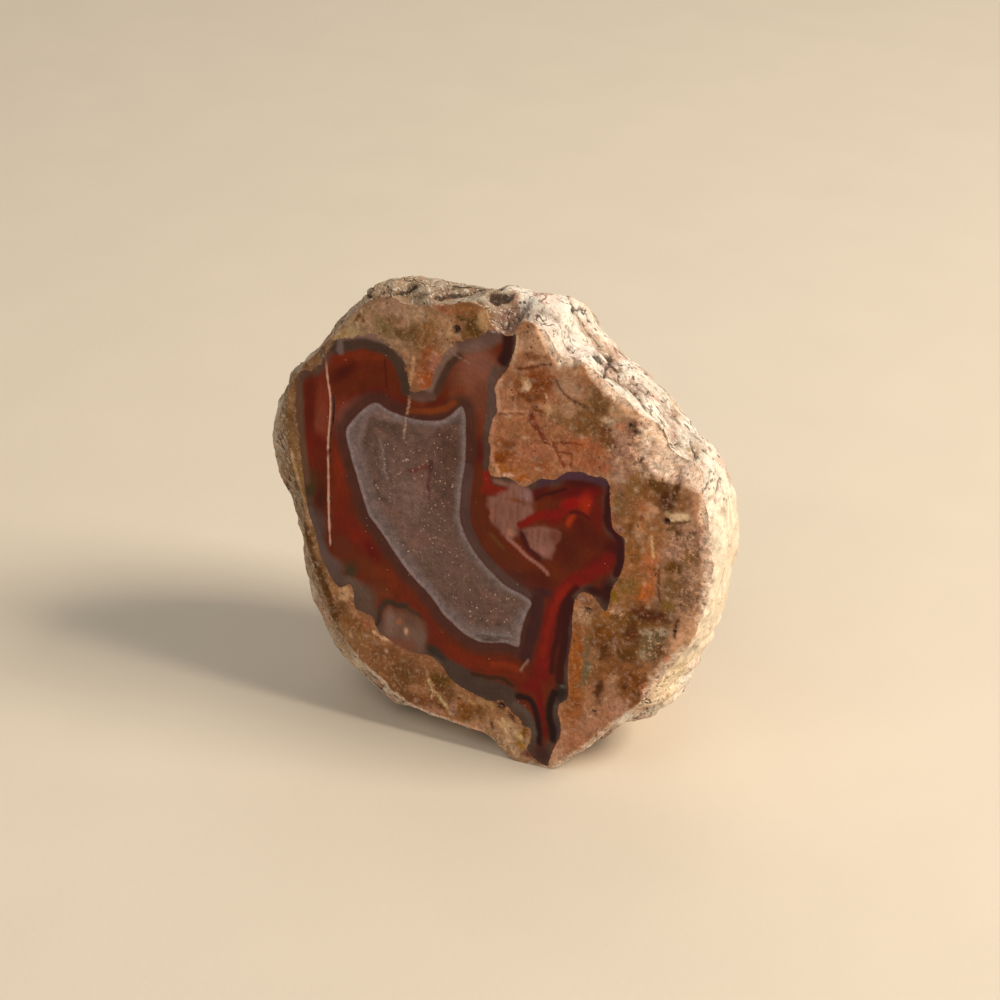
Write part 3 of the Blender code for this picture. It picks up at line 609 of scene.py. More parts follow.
GROUND_SPOTS = [
    # Top left, above the first lobe.
    (-33.5, 70.0, 3.0, 1.6, 0.0, (122, 94, 64)), (-29.5, 68.6, 3.2, 1.8, 0.0, (158, 124, 102)),
    (-30.8, 65.5, 2.2, 1.5, 0.0, (120, 98, 64)), (-28.4, 65.0, 1.2, 0.9, 0.0, (98, 74, 44)),
    (-26.0, 65.0, 2.0, 2.0, 0.0, (116, 86, 50)), (-29.0, 66.8, 1.2, 0.8, 0.0, (164, 124, 104)),
    (-24.4, 66.0, 1.6, 3.6, 0.0, (138, 98, 62)), (-23.6, 61.0, 1.8, 3.2, 0.0, (142, 84, 50)),
    (-24.2, 58.4, 1.3, 1.6, 0.0, (152, 78, 40)), (-22.8, 61.4, 0.9, 1.6, 0.0, (150, 98, 78)),
    (-36.4, 64.6, 1.1, 1.8, 0.0, (172, 146, 112)), (-38.5, 63.0, 1.6, 1.0, 30.0, (158, 132, 94)),
    (-40.6, 62.0, 1.0, 1.4, 30.0, (124, 106, 82)), (-41.8, 60.0, 0.8, 1.6, 20.0, (104, 84, 66)),
    (-35.4, 66.6, 0.8, 0.4, 50.0, (92, 64, 38)), (-26.6, 56.9, 0.5, 0.9, 0.0, (150, 112, 84)),
    (-21.8, 69.8, 1.6, 0.9, -30.0, (146, 92, 66)), (-17.8, 69.8, 2.6, 2.2, -20.0, (138, 92, 56)),
    (-17.0, 67.8, 1.3, 2.0, -20.0, (92, 64, 26)), (-15.2, 69.6, 1.0, 1.6, -20.0, (176, 138, 98)),
    (-20.9, 66.6, 0.7, 0.9, 0.0, (172, 136, 98)), (-12.0, 69.2, 1.6, 0.6, 0.0, (150, 112, 96)),
    (-46.4, 52.0, 0.8, 3.0, 0.0, (128, 94, 62)), (-47.0, 48.0, 0.9, 2.0, 0.0, (104, 78, 48)),
    (-26.2, 68.2, 2.2, 1.2, 0.0, (170, 138, 110)), (-34.0, 68.0, 1.6, 1.2, 0.0, (148, 116, 90)),
    (-30.0, 67.0, 1.4, 0.9, 0.0, (126, 96, 68)), (-22.2, 68.0, 1.6, 1.0, 0.0, (156, 119, 90)),
    # Between the two lobes on the right, and the top right.
    (-8.8, 66.5, 1.5, 1.1, 0.0, (172, 132, 104)), (-7.2, 64.9, 2.6, 0.7, 10.0, (132, 84, 56)),
    (-6.0, 61.6, 2.4, 2.0, 0.0, (124, 64, 26)), (-8.9, 59.8, 1.6, 1.6, 0.0, (126, 74, 40)),
    (-6.8, 58.8, 1.5, 0.8, 0.0, (118, 66, 30)), (-7.9, 61.0, 0.55, 0.6, 0.0, (216, 180, 146)),
    (-8.6, 61.7, 0.7, 0.5, 0.0, (168, 120, 80)), (-5.0, 59.5, 0.3, 0.5, 0.0, (214, 172, 132)),
    (-11.0, 59.2, 1.3, 1.8, 0.0, (158, 108, 80)), (-9.8, 57.4, 2.0, 0.9, 0.0, (164, 112, 82)),
    (-1.3, 61.6, 2.3, 1.5, 0.0, (172, 132, 106)), (-3.9, 57.9, 0.8, 0.8, 0.0, (196, 154, 118)),
    (-1.5, 57.5, 2.2, 1.8, 0.0, (138, 98, 64)), (1.6, 57.0, 2.6, 2.4, 0.0, (122, 84, 50)),
    (3.6, 59.6, 1.6, 2.4, 0.0, (112, 78, 44)), (0.2, 59.0, 1.6, 0.8, 0.0, (160, 120, 90)),
    (4.6, 54.6, 1.0, 2.0, 0.0, (118, 74, 38)), (-5.3, 56.9, 1.0, 0.5, 0.0, (118, 66, 32)),
    (-9.0, 53.8, 3.0, 1.2, 0.0, (152, 100, 68)), (-6.0, 51.3, 3.2, 1.4, 0.0, (168, 108, 78)),
    (-10.9, 48.9, 2.0, 1.1, 0.0, (128, 64, 20)), (-10.4, 51.2, 1.7, 0.8, 0.0, (134, 78, 46)),
    (-10.2, 47.3, 1.8, 0.6, 0.0, (160, 94, 38)), (-6.2, 48.3, 3.0, 1.2, 0.0, (156, 96, 62)),
    (-4.4, 48.8, 1.2, 0.5, 10.0, (142, 78, 44)), (-7.4, 46.2, 1.5, 0.6, 0.0, (158, 90, 42)),
    (1.6, 52.9, 4.2, 1.7, 0.0, (160, 96, 62)), (3.4, 50.6, 2.8, 0.9, 0.0, (158, 94, 64)),
    (-11.6, 46.6, 0.4, 0.9, 30.0, (214, 160, 120)), (-9.8, 46.4, 1.0, 0.3, 0.0, (206, 160, 140)),
    # Right, beside the bright rind.
    (6.3, 59.4, 1.4, 0.9, -20.0, (190, 150, 116)), (8.2, 60.0, 2.0, 0.6, -20.0, (208, 164, 128)),
    (5.4, 57.6, 0.9, 1.0, 0.0, (228, 196, 166)), (7.3, 57.4, 1.3, 0.6, 0.0, (190, 130, 100)),
    (9.0, 57.6, 1.0, 0.8, 0.0, (98, 80, 62)), (9.7, 56.7, 0.5, 0.8, -30.0, (56, 36, 24)),
    (11.6, 56.6, 1.1, 0.5, 0.0, (176, 108, 80)), (11.5, 55.1, 1.0, 0.6, 0.0, (114, 90, 82)),
    (13.0, 57.8, 1.6, 1.0, -30.0, (240, 200, 164)), (8.3, 54.8, 2.6, 1.2, 0.0, (164, 124, 108)),
    (10.8, 53.0, 0.6, 0.9, -30.0, (78, 62, 50)), (12.6, 51.5, 1.0, 0.9, 0.0, (132, 96, 74)),
    (14.7, 50.5, 0.8, 0.8, 0.0, (88, 56, 28)), (16.3, 52.8, 1.2, 0.7, 0.0, (196, 166, 148)),
    (17.4, 53.0, 0.5, 1.2, 0.0, (134, 90, 70)), (18.8, 51.8, 0.4, 0.9, -25.0, (148, 96, 70)),
    (7.6, 49.4, 0.8, 1.2, 0.0, (182, 144, 122)), (10.2, 48.4, 1.6, 2.2, 0.0, (130, 92, 52)),
    (12.2, 48.4, 1.0, 1.2, 0.0, (140, 92, 52)), (15.0, 47.6, 1.6, 2.0, 0.0, (76, 42, 8)),
    (13.6, 49.4, 0.9, 0.8, 0.0, (96, 64, 26)), (17.8, 48.2, 1.0, 1.6, 0.0, (134, 92, 58)),
    (16.4, 49.8, 0.5, 1.2, -25.0, (88, 56, 28)), (20.2, 47.6, 1.2, 2.6, 0.0, (186, 140, 108)),
    (8.0, 52.0, 1.4, 1.2, 0.0, (184, 138, 110)), (10.2, 55.2, 1.0, 0.9, 0.0, (198, 156, 130)),
    (5.2, 55.4, 1.3, 1.6, 0.0, (112, 70, 38)),
    (-1.0, 58.4, 1.3, 1.0, 0.0, (176, 134, 106)), (7.0, 22.0, 1.4, 1.6, 0.0, (96, 56, 20)),
    (11.4, 46.4, 1.2, 1.1, 0.0, (164, 106, 68)), (11.8, 44.6, 0.45, 0.6, 0.0, (112, 56, 32)),
    (13.1, 45.2, 0.9, 0.9, 0.0, (182, 136, 106)), (8.4, 45.6, 1.0, 2.0, 0.0, (126, 92, 58)),
    (15.4, 45.4, 0.4, 0.35, 0.0, (196, 168, 136)), (17.4, 45.2, 1.7, 0.65, 12.0, (196, 164, 128)),
    (16.6, 43.2, 1.1, 0.5, 0.0, (108, 74, 42)), (19.4, 43.0, 0.8, 0.5, 40.0, (108, 78, 58)),
    (9.9, 42.2, 0.5, 2.0, 0.0, (124, 78, 34)), (11.4, 41.4, 1.0, 1.3, 0.0, (172, 130, 100)),
    (8.2, 41.8, 0.8, 0.5, 0.0, (142, 100, 88)), (16.6, 40.2, 1.3, 1.0, 0.0, (176, 134, 114)),
    (19.8, 39.4, 1.2, 1.2, 0.0, (144, 106, 62)), (17.2, 37.4, 1.2, 1.0, 0.0, (104, 68, 28)),
    (13.4, 37.6, 1.5, 1.5, 0.0, (170, 102, 62)), (10.6, 38.0, 0.8, 1.6, 0.0, (142, 92, 46)),
    (14.2, 35.0, 0.7, 2.4, 0.0, (168, 100, 60)), (12.8, 32.6, 1.6, 1.6, 0.0, (166, 88, 36)),
    (10.6, 33.0, 1.5, 1.5, 0.0, (128, 94, 46)), (8.3, 31.0, 0.7, 0.9, 0.0, (120, 90, 20)),
    (17.4, 34.0, 1.2, 2.0, 0.0, (122, 88, 54)), (20.6, 36.4, 1.0, 2.0, 0.0, (178, 138, 112)),
    # Lower right.
    (9.0, 28.8, 1.2, 0.9, 0.0, (176, 134, 102)), (14.4, 29.2, 3.0, 1.1, 0.0, (86, 44, 8)),
    (16.8, 31.2, 1.2, 0.9, 0.0, (112, 82, 34)), (11.8, 25.6, 1.1, 2.0, 0.0, (80, 46, 8)),
    (15.2, 24.6, 2.0, 2.4, 0.0, (118, 104, 76)), (14.0, 26.5, 0.7, 0.6, 0.0, (174, 160, 138)),
    (16.6, 27.0, 1.2, 0.5, 0.0, (168, 152, 132)), (13.6, 22.4, 0.7, 0.7, 0.0, (158, 140, 112)),
    (16.5, 23.6, 1.2, 1.2, 0.0, (112, 76, 48)), (11.0, 22.2, 1.4, 1.2, 0.0, (92, 58, 14)),
    (7.2, 24.4, 1.8, 1.6, 0.0, (108, 64, 16)), (7.4, 28.0, 0.6, 0.8, 0.0, (152, 92, 24)),
    (4.0, 26.8, 1.4, 1.6, 0.0, (166, 128, 98)), (4.6, 27.8, 0.4, 0.35, 0.0, (64, 28, 12)),
    (3.6, 29.4, 1.0, 0.6, 0.0, (124, 88, 78)), (9.3, 23.4, 0.45, 1.4, 0.0, (168, 128, 106)),
    (4.9, 19.0, 0.45, 4.5, -3.0, (108, 96, 70)), (6.2, 20.4, 0.8, 1.4, 0.0, (140, 100, 68)),
    (7.2, 15.2, 0.85, 1.8, 0.0, (80, 46, 8)), (12.4, 18.4, 2.2, 1.2, 0.0, (108, 62, 20)),
    (14.6, 17.4, 0.9, 1.0, 40.0, (172, 98, 66)), (11.5, 17.0, 0.4, 0.5, 0.0, (74, 40, 14)),
    (9.4, 16.8, 0.9, 1.8, 0.0, (158, 118, 90)), (13.2, 16.4, 1.0, 0.8, 0.0, (104, 60, 20)),
    (10.8, 13.2, 1.6, 1.3, 0.0, (172, 126, 104)), (6.7, 11.7, 0.5, 0.4, 0.0, (192, 152, 116)),
    (10.9, 11.4, 0.9, 0.6, 40.0, (150, 96, 68)), (6.4, 9.0, 1.8, 1.0, 0.0, (166, 118, 94)),
    (7.0, 7.0, 1.0, 0.7, 20.0, (146, 90, 60)), (2.6, 10.0, 0.9, 1.4, 0.0, (142, 84, 40)),
    (1.3, 2.4, 0.9, 2.0, -15.0, (190, 144, 118)), (17.6, 22.6, 0.7, 1.6, -25.0, (190, 136, 104)),
    # Bottom and lower left.
    (-25.0, 9.5, 2.6, 3.0, 0.0, (108, 72, 40)), (-22.4, 11.0, 1.4, 1.4, 0.0, (112, 74, 44)),
    (-18.8, 10.6, 1.4, 1.5, 20.0, (90, 62, 20)), (-17.2, 9.0, 0.9, 0.9, 0.0, (106, 72, 42)),
    (-22.4, 7.8, 2.0, 0.8, 0.0, (146, 102, 72)), (-21.6, 6.3, 2.2, 0.6, 0.0, (122, 74, 46)),
    (-18.3, 6.2, 0.8, 0.6, 0.0, (94, 58, 30)), (-21.6, 4.8, 3.2, 0.5, 0.0, (172, 120, 98)),
    (-16.4, 6.2, 0.6, 1.2, 0.0, (178, 138, 112)), (-15.3, 6.6, 0.3, 1.8, 0.0, (152, 92, 40)),
    (-14.0, 6.0, 1.1, 1.7, 0.0, (112, 68, 14)), (-12.0, 7.0, 1.1, 1.0, 0.0, (106, 66, 32)),
    (-10.2, 6.8, 1.4, 1.1, 0.0, (146, 106, 70)), (-11.8, 8.5, 3.0, 0.4, 5.0, (168, 128, 86)),
    (-11.0, 4.7, 2.0, 0.6, 5.0, (172, 126, 96)), (-8.6, 9.0, 0.9, 0.7, 0.0, (56, 30, 12)),
    (-6.6, 7.2, 1.1, 0.4, -25.0, (70, 38, 16)), (-7.4, 5.8, 1.2, 0.9, 0.0, (196, 160, 120)),
    (-5.2, 4.4, 0.6, 0.5, 0.0, (222, 190, 126)), (-3.9, 5.3, 0.7, 0.9, 0.0, (118, 74, 6)),
    (-4.9, 3.1, 0.9, 0.5, 0.0, (152, 108, 24)), (-3.4, 1.9, 1.2, 0.6, 0.0, (112, 62, 50)),
    (-28.8, 12.5, 2.4, 1.8, 0.0, (118, 76, 44)), (-31.8, 17.4, 1.8, 0.9, -20.0, (146, 94, 66)),
    (-35.9, 21.2, 1.0, 1.0, 0.0, (190, 152, 116)), (-36.2, 18.2, 1.2, 1.4, 30.0, (112, 74, 40)),
    (-33.6, 16.4, 2.0, 1.0, -25.0, (116, 76, 38)), (-38.6, 22.0, 0.6, 1.8, 30.0, (142, 104, 72)),
    (-41.0, 27.4, 0.6, 1.6, 20.0, (140, 106, 74)), (-42.9, 32.6, 0.8, 1.4, 15.0, (158, 122, 96)),
]
# Dark and pale lines of the ground: half width, colour and the line's corners.
GROUND_STROKES = [
    (0.08, (104, 76, 50), [(-24.6, 69.2), (-24.7, 67.0), (-24.5, 64.4)]),
    (0.55, (206, 178, 144), [(16.4, 45.0), (17.3, 45.4), (18.3, 45.7)]),
    (0.16, (96, 62, 38), [(15.9, 44.2), (17.4, 44.5), (19.0, 45.2)]),
    (0.3, (92, 66, 34), [(-19.4, 69.2), (-17.6, 68.6), (-16.4, 67.4)]),
    (0.14, (98, 66, 40), [(-27.2, 65.2), (-26.0, 66.4)]),
    (0.18, (92, 64, 40), [(-36.4, 65.4), (-35.5, 66.8), (-34.9, 65.6)]),
    (0.18, (178, 140, 108), [(-26.3, 61.5), (-26.5, 59.0), (-26.7, 56.8)]),
    (0.5, (80, 52, 22), [
        (-43.7, 31.5), (-42.6, 28.6), (-41.8, 26.4), (-40.6, 23.8), (-38.9, 20.4), (-37.2, 16.6),
    ]),
    (0.16, (172, 138, 106), [(-46.3, 42.8), (-45.5, 40.2), (-44.7, 37.6), (-43.8, 35.0)]),
    (0.5, (96, 70, 36), [(-47.0, 42.0), (-46.2, 39.0), (-44.8, 36.0)]),
    (0.3, (190, 142, 116), [(-12.0, 61.0), (-12.5, 59.4), (-12.3, 57.5), (-12.1, 56.0)]),
    (0.3, (178, 124, 98), [(-12.5, 54.6), (-13.0, 52.0), (-12.6, 50.0), (-12.6, 47.8)]),
    (0.22, (188, 152, 126), [(-9.9, 67.8), (-10.0, 65.4), (-10.5, 63.2)]),
    (0.2, (96, 50, 28), [(-9.4, 63.0), (-7.6, 63.5), (-6.0, 64.2), (-4.4, 64.6)]),
    (0.18, (90, 58, 36), [(-3.4, 62.3), (-2.2, 60.8), (-0.4, 59.8), (2.2, 59.0)]),
    (0.14, (126, 76, 52), [(-12.0, 55.6), (-9.5, 56.1), (-7.6, 56.5)]),
    (0.13, (190, 140, 110), [(-11.6, 56.0), (-9.2, 56.5), (-6.6, 56.9)]),
    (0.34, (120, 58, 40), [(-6.7, 56.6), (-6.2, 55.4), (-5.2, 54.0), (-4.4, 52.7)]),
    (0.16, (98, 40, 30), [(-7.0, 56.2), (-6.8, 55.2), (-6.0, 54.4)]),
    (0.17, (110, 44, 26), [(-4.4, 52.6), (-3.0, 52.4), (-2.2, 51.4), (-1.6, 50.2), (-1.0, 49.4)]),
    (0.12, (124, 58, 36), [(-3.6, 52.6), (-1.4, 53.2), (1.4, 53.4)]),
    (0.12, (118, 54, 34), [(-2.2, 51.6), (-0.8, 51.6), (0.0, 51.7), (0.0, 49.8)]),
    (0.14, (128, 60, 40), [(-1.8, 50.2), (-0.6, 49.8)]),
    (0.14, (206, 168, 120), [(13.4, 41.6), (13.7, 40.0), (14.0, 38.4)]),
    (0.2, (70, 40, 22), [(18.7, 29.4), (18.4, 28.0), (18.4, 26.4)]),
    (0.16, (98, 52, 20), [(15.6, 31.6), (15.2, 34.0), (15.0, 37.6)]),
    (0.22, (188, 166, 124), [(-20.8, 10.0), (-20.2, 8.6), (-18.8, 7.6), (-17.4, 6.2)]),
    (0.16, (78, 44, 20), [(-9.8, 5.4), (-9.4, 4.6)]),
    (0.22, (202, 168, 132), [(-8.0, 6.6), (-7.0, 3.8), (-7.4, 1.8)]),
    (0.22, (192, 160, 128), [(-6.6, 4.0), (-6.0, 1.6), (-5.2, 0.8)]),
    (0.22, (214, 172, 138), [(-30.6, 15.9), (-29.6, 15.2), (-28.4, 15.2)]),
    (0.3, (198, 150, 122), [(-24.0, 4.4), (-20.0, 4.2), (-16.0, 4.0), (-11.0, 3.6)]),
]

RED_SPOTS = [
    # The first lobe and the left side.
    (-37.6, 59.6, 3.0, 1.3, 30.0, (116, 42, 24)), (-37.4, 57.4, 3.2, 0.9, 40.0, (78, 28, 8)),
    (-33.6, 60.4, 2.6, 0.9, 10.0, (112, 46, 24)), (-32.4, 57.0, 3.0, 2.6, 0.0, (98, 40, 20)),
    (-33.2, 54.8, 3.0, 0.7, 22.0, (100, 30, 16)), (-29.2, 57.0, 1.6, 2.6, 0.0, (96, 40, 21)),
    (-28.6, 54.4, 1.8, 1.0, 0.0, (98, 32, 18)), (-41.2, 52.0, 1.3, 3.4, 0.0, (120, 52, 36)),
    (-41.2, 48.4, 1.2, 2.8, 0.0, (124, 60, 44)), (-41.6, 44.8, 1.5, 1.8, 0.0, (98, 30, 8)),
    (-43.4, 49.6, 0.9, 5.6, 0.0, (92, 30, 12)), (-38.3, 50.2, 1.3, 2.6, -15.0, (118, 52, 38)),
    (-37.9, 47.2, 0.9, 1.4, 0.0, (112, 56, 50)), (-43.2, 43.0, 0.8, 3.4, 0.0, (104, 32, 14)),
    (-41.2, 41.6, 1.2, 2.6, 0.0, (98, 36, 20)), (-42.4, 38.6, 1.2, 2.0, 0.0, (80, 48, 26)),
    (-42.6, 37.0, 0.8, 1.2, 0.0, (62, 52, 32)), (-40.8, 36.0, 1.0, 4.0, 0.0, (74, 32, 16)),
    (-37.9, 42.4, 1.1, 4.4, 5.0, (118, 42, 14)), (-37.3, 36.0, 1.6, 3.6, 0.0, (108, 38, 18)),
    (-36.4, 32.4, 2.0, 2.0, 0.0, (100, 32, 14)), (-33.4, 30.6, 3.4, 1.6, -42.0, (108, 34, 14)),
    (-31.8, 29.4, 1.6, 0.9, -42.0, (98, 24, 8)), (-36.8, 29.2, 1.4, 1.6, 0.0, (98, 44, 30)),
    (-34.0, 26.6, 2.0, 0.9, 0.0, (84, 44, 26)), (-35.2, 25.3, 1.2, 1.1, 0.0, (62, 51, 36)),
    (-31.0, 25.6, 3.0, 1.3, -35.0, (102, 46, 24)), (-27.6, 25.0, 3.0, 1.1, -38.0, (108, 44, 18)),
    (-25.0, 22.9, 3.0, 1.0, -38.0, (108, 42, 18)), (-30.4, 22.9, 2.2, 1.0, -10.0, (106, 54, 32)),
    (-22.6, 20.9, 2.2, 1.0, -38.0, (104, 38, 18)), (-24.0, 20.7, 1.8, 0.45, -18.0, (54, 33, 14)),
    (-21.4, 18.4, 1.0, 1.6, 0.0, (98, 32, 16)), (-19.0, 16.9, 2.4, 0.9, -32.0, (104, 38, 18)),
    # The second lobe.
    (-16.2, 60.4, 3.4, 4.4, 0.0, (126, 77, 60)), (-15.4, 62.8, 2.4, 1.6, 0.0, (128, 82, 68)),
    (-15.5, 56.0, 1.7, 3.2, 0.0, (116, 66, 48)), (-15.2, 52.6, 0.9, 2.4, 0.0, (112, 52, 30)),
    (-14.9, 48.8, 0.8, 2.4, 0.0, (88, 22, 10)), (-18.8, 57.6, 1.6, 0.8, 40.0, (116, 60, 38)),
    (-35.4, 52.4, 2.6, 1.1, 40.0, (112, 62, 52)), (-37.6, 50.0, 0.9, 2.0, -20.0, (118, 70, 60)),
    (-16.6, 65.2, 3.2, 1.0, 22.0, (114, 88, 80)), (-14.0, 66.8, 1.6, 0.9, 20.0, (106, 80, 74)),
    (-25.6, 54.8, 1.4, 0.7, 0.0, (104, 44, 26)), (-22.4, 55.4, 1.4, 0.6, 30.0, (92, 36, 24)),
    # Lower left, down to the pale box.
    (-41.2, 31.4, 1.4, 2.4, 0.0, (84, 64, 60)), (-38.2, 25.6, 1.6, 1.3, 0.0, (98, 78, 74)),
    (-36.0, 23.6, 2.2, 0.7, 0.0, (98, 78, 68)), (-33.0, 21.9, 2.4, 1.5, -20.0, (94, 76, 66)),
    (-32.4, 19.8, 2.0, 1.1, -15.0, (90, 70, 60)), (-25.8, 17.4, 3.3, 3.0, 0.0, (112, 86, 74)),
    (-28.0, 18.2, 0.8, 2.0, 0.0, (124, 98, 88)), (-24.0, 19.2, 1.8, 0.8, 0.0, (104, 74, 62)),
    (-22.6, 16.4, 1.0, 2.0, 0.0, (114, 90, 80)), (-26.4, 18.6, 0.4, 0.5, 0.0, (150, 94, 62)),
    (-25.2, 17.3, 0.3, 0.45, 0.0, (206, 156, 126)), (-25.5, 15.0, 2.6, 0.8, 0.0, (116, 72, 58)),
    (-20.3, 15.2, 1.2, 0.8, -20.0, (54, 46, 38)), (-18.8, 14.4, 1.6, 0.7, -25.0, (58, 48, 42)),
    (-19.2, 13.6, 1.0, 0.4, -25.0, (84, 72, 72)),
    # Right lobe.
    (2.0, 47.0, 3.2, 1.4, 0.0, (74, 16, 14)), (0.4, 45.6, 3.0, 0.9, 15.0, (92, 14, 8)),
    (3.4, 46.2, 1.8, 0.8, 20.0, (108, 22, 6)), (-2.0, 41.4, 1.7, 1.1, 20.0, (108, 10, 4)),
    (0.6, 43.8, 1.7, 0.9, 28.0, (144, 14, 2)), (2.9, 44.4, 1.0, 1.5, 0.0, (154, 40, 4)),
    (4.6, 43.0, 1.0, 2.6, 0.0, (104, 30, 6)), (0.7, 41.4, 0.6, 1.1, -10.0, (172, 58, 14)),
    (2.0, 41.2, 1.1, 1.1, 30.0, (84, 26, 12)), (3.4, 39.4, 2.6, 1.8, 0.0, (88, 30, 14)),
    (0.0, 36.4, 2.0, 2.6, 0.0, (84, 32, 18)), (5.6, 35.4, 2.6, 1.3, 30.0, (94, 16, 5)),
    (7.4, 38.2, 1.2, 1.8, 0.0, (72, 12, 14)), (7.3, 31.4, 1.0, 2.0, 0.0, (54, 18, 18)),
    (5.4, 31.0, 1.8, 0.8, 0.0, (58, 16, 18)), (-4.6, 44.6, 1.6, 1.0, 40.0, (86, 26, 18)),
    (-6.8, 31.2, 2.6, 1.1, -28.0, (80, 38, 30)), (-3.2, 30.9, 2.6, 1.2, -15.0, (86, 33, 18)),
    (-3.0, 29.0, 2.0, 0.7, 0.0, (66, 34, 36)), (-11.0, 44.9, 1.3, 0.35, 0.0, (136, 98, 84)),
    (-8.6, 44.7, 1.4, 0.6, 0.0, (132, 92, 84)),
    # Tail.
    (-2.2, 15.6, 1.5, 1.5, 0.0, (108, 12, 5)), (-3.7, 13.4, 1.6, 1.2, 0.0, (110, 22, 14)),
    (-5.4, 14.2, 1.4, 1.2, 0.0, (96, 28, 14)), (-0.8, 6.4, 0.6, 1.1, 0.0, (94, 20, 18)),
    (1.3, 13.5, 0.9, 1.9, 0.0, (46, 37, 33)), (1.4, 14.5, 0.4, 0.25, 0.0, (92, 86, 80)),
    (0.4, 10.8, 0.5, 0.25, 0.0, (86, 82, 78)), (-1.0, 2.4, 1.2, 1.4, 0.0, (66, 42, 38)),
    (1.0, 7.0, 0.35, 1.4, 0.0, (64, 50, 58)), (0.8, 4.6, 0.5, 1.3, 0.0, (96, 62, 50)),
    (-1.0, 18.8, 0.3, 0.9, -20.0, (140, 32, 28)), (-0.1, 28.4, 0.3, 0.25, 0.0, (186, 96, 70)),
    (3.0, 32.3, 0.7, 0.3, 40.0, (160, 70, 54)),
]
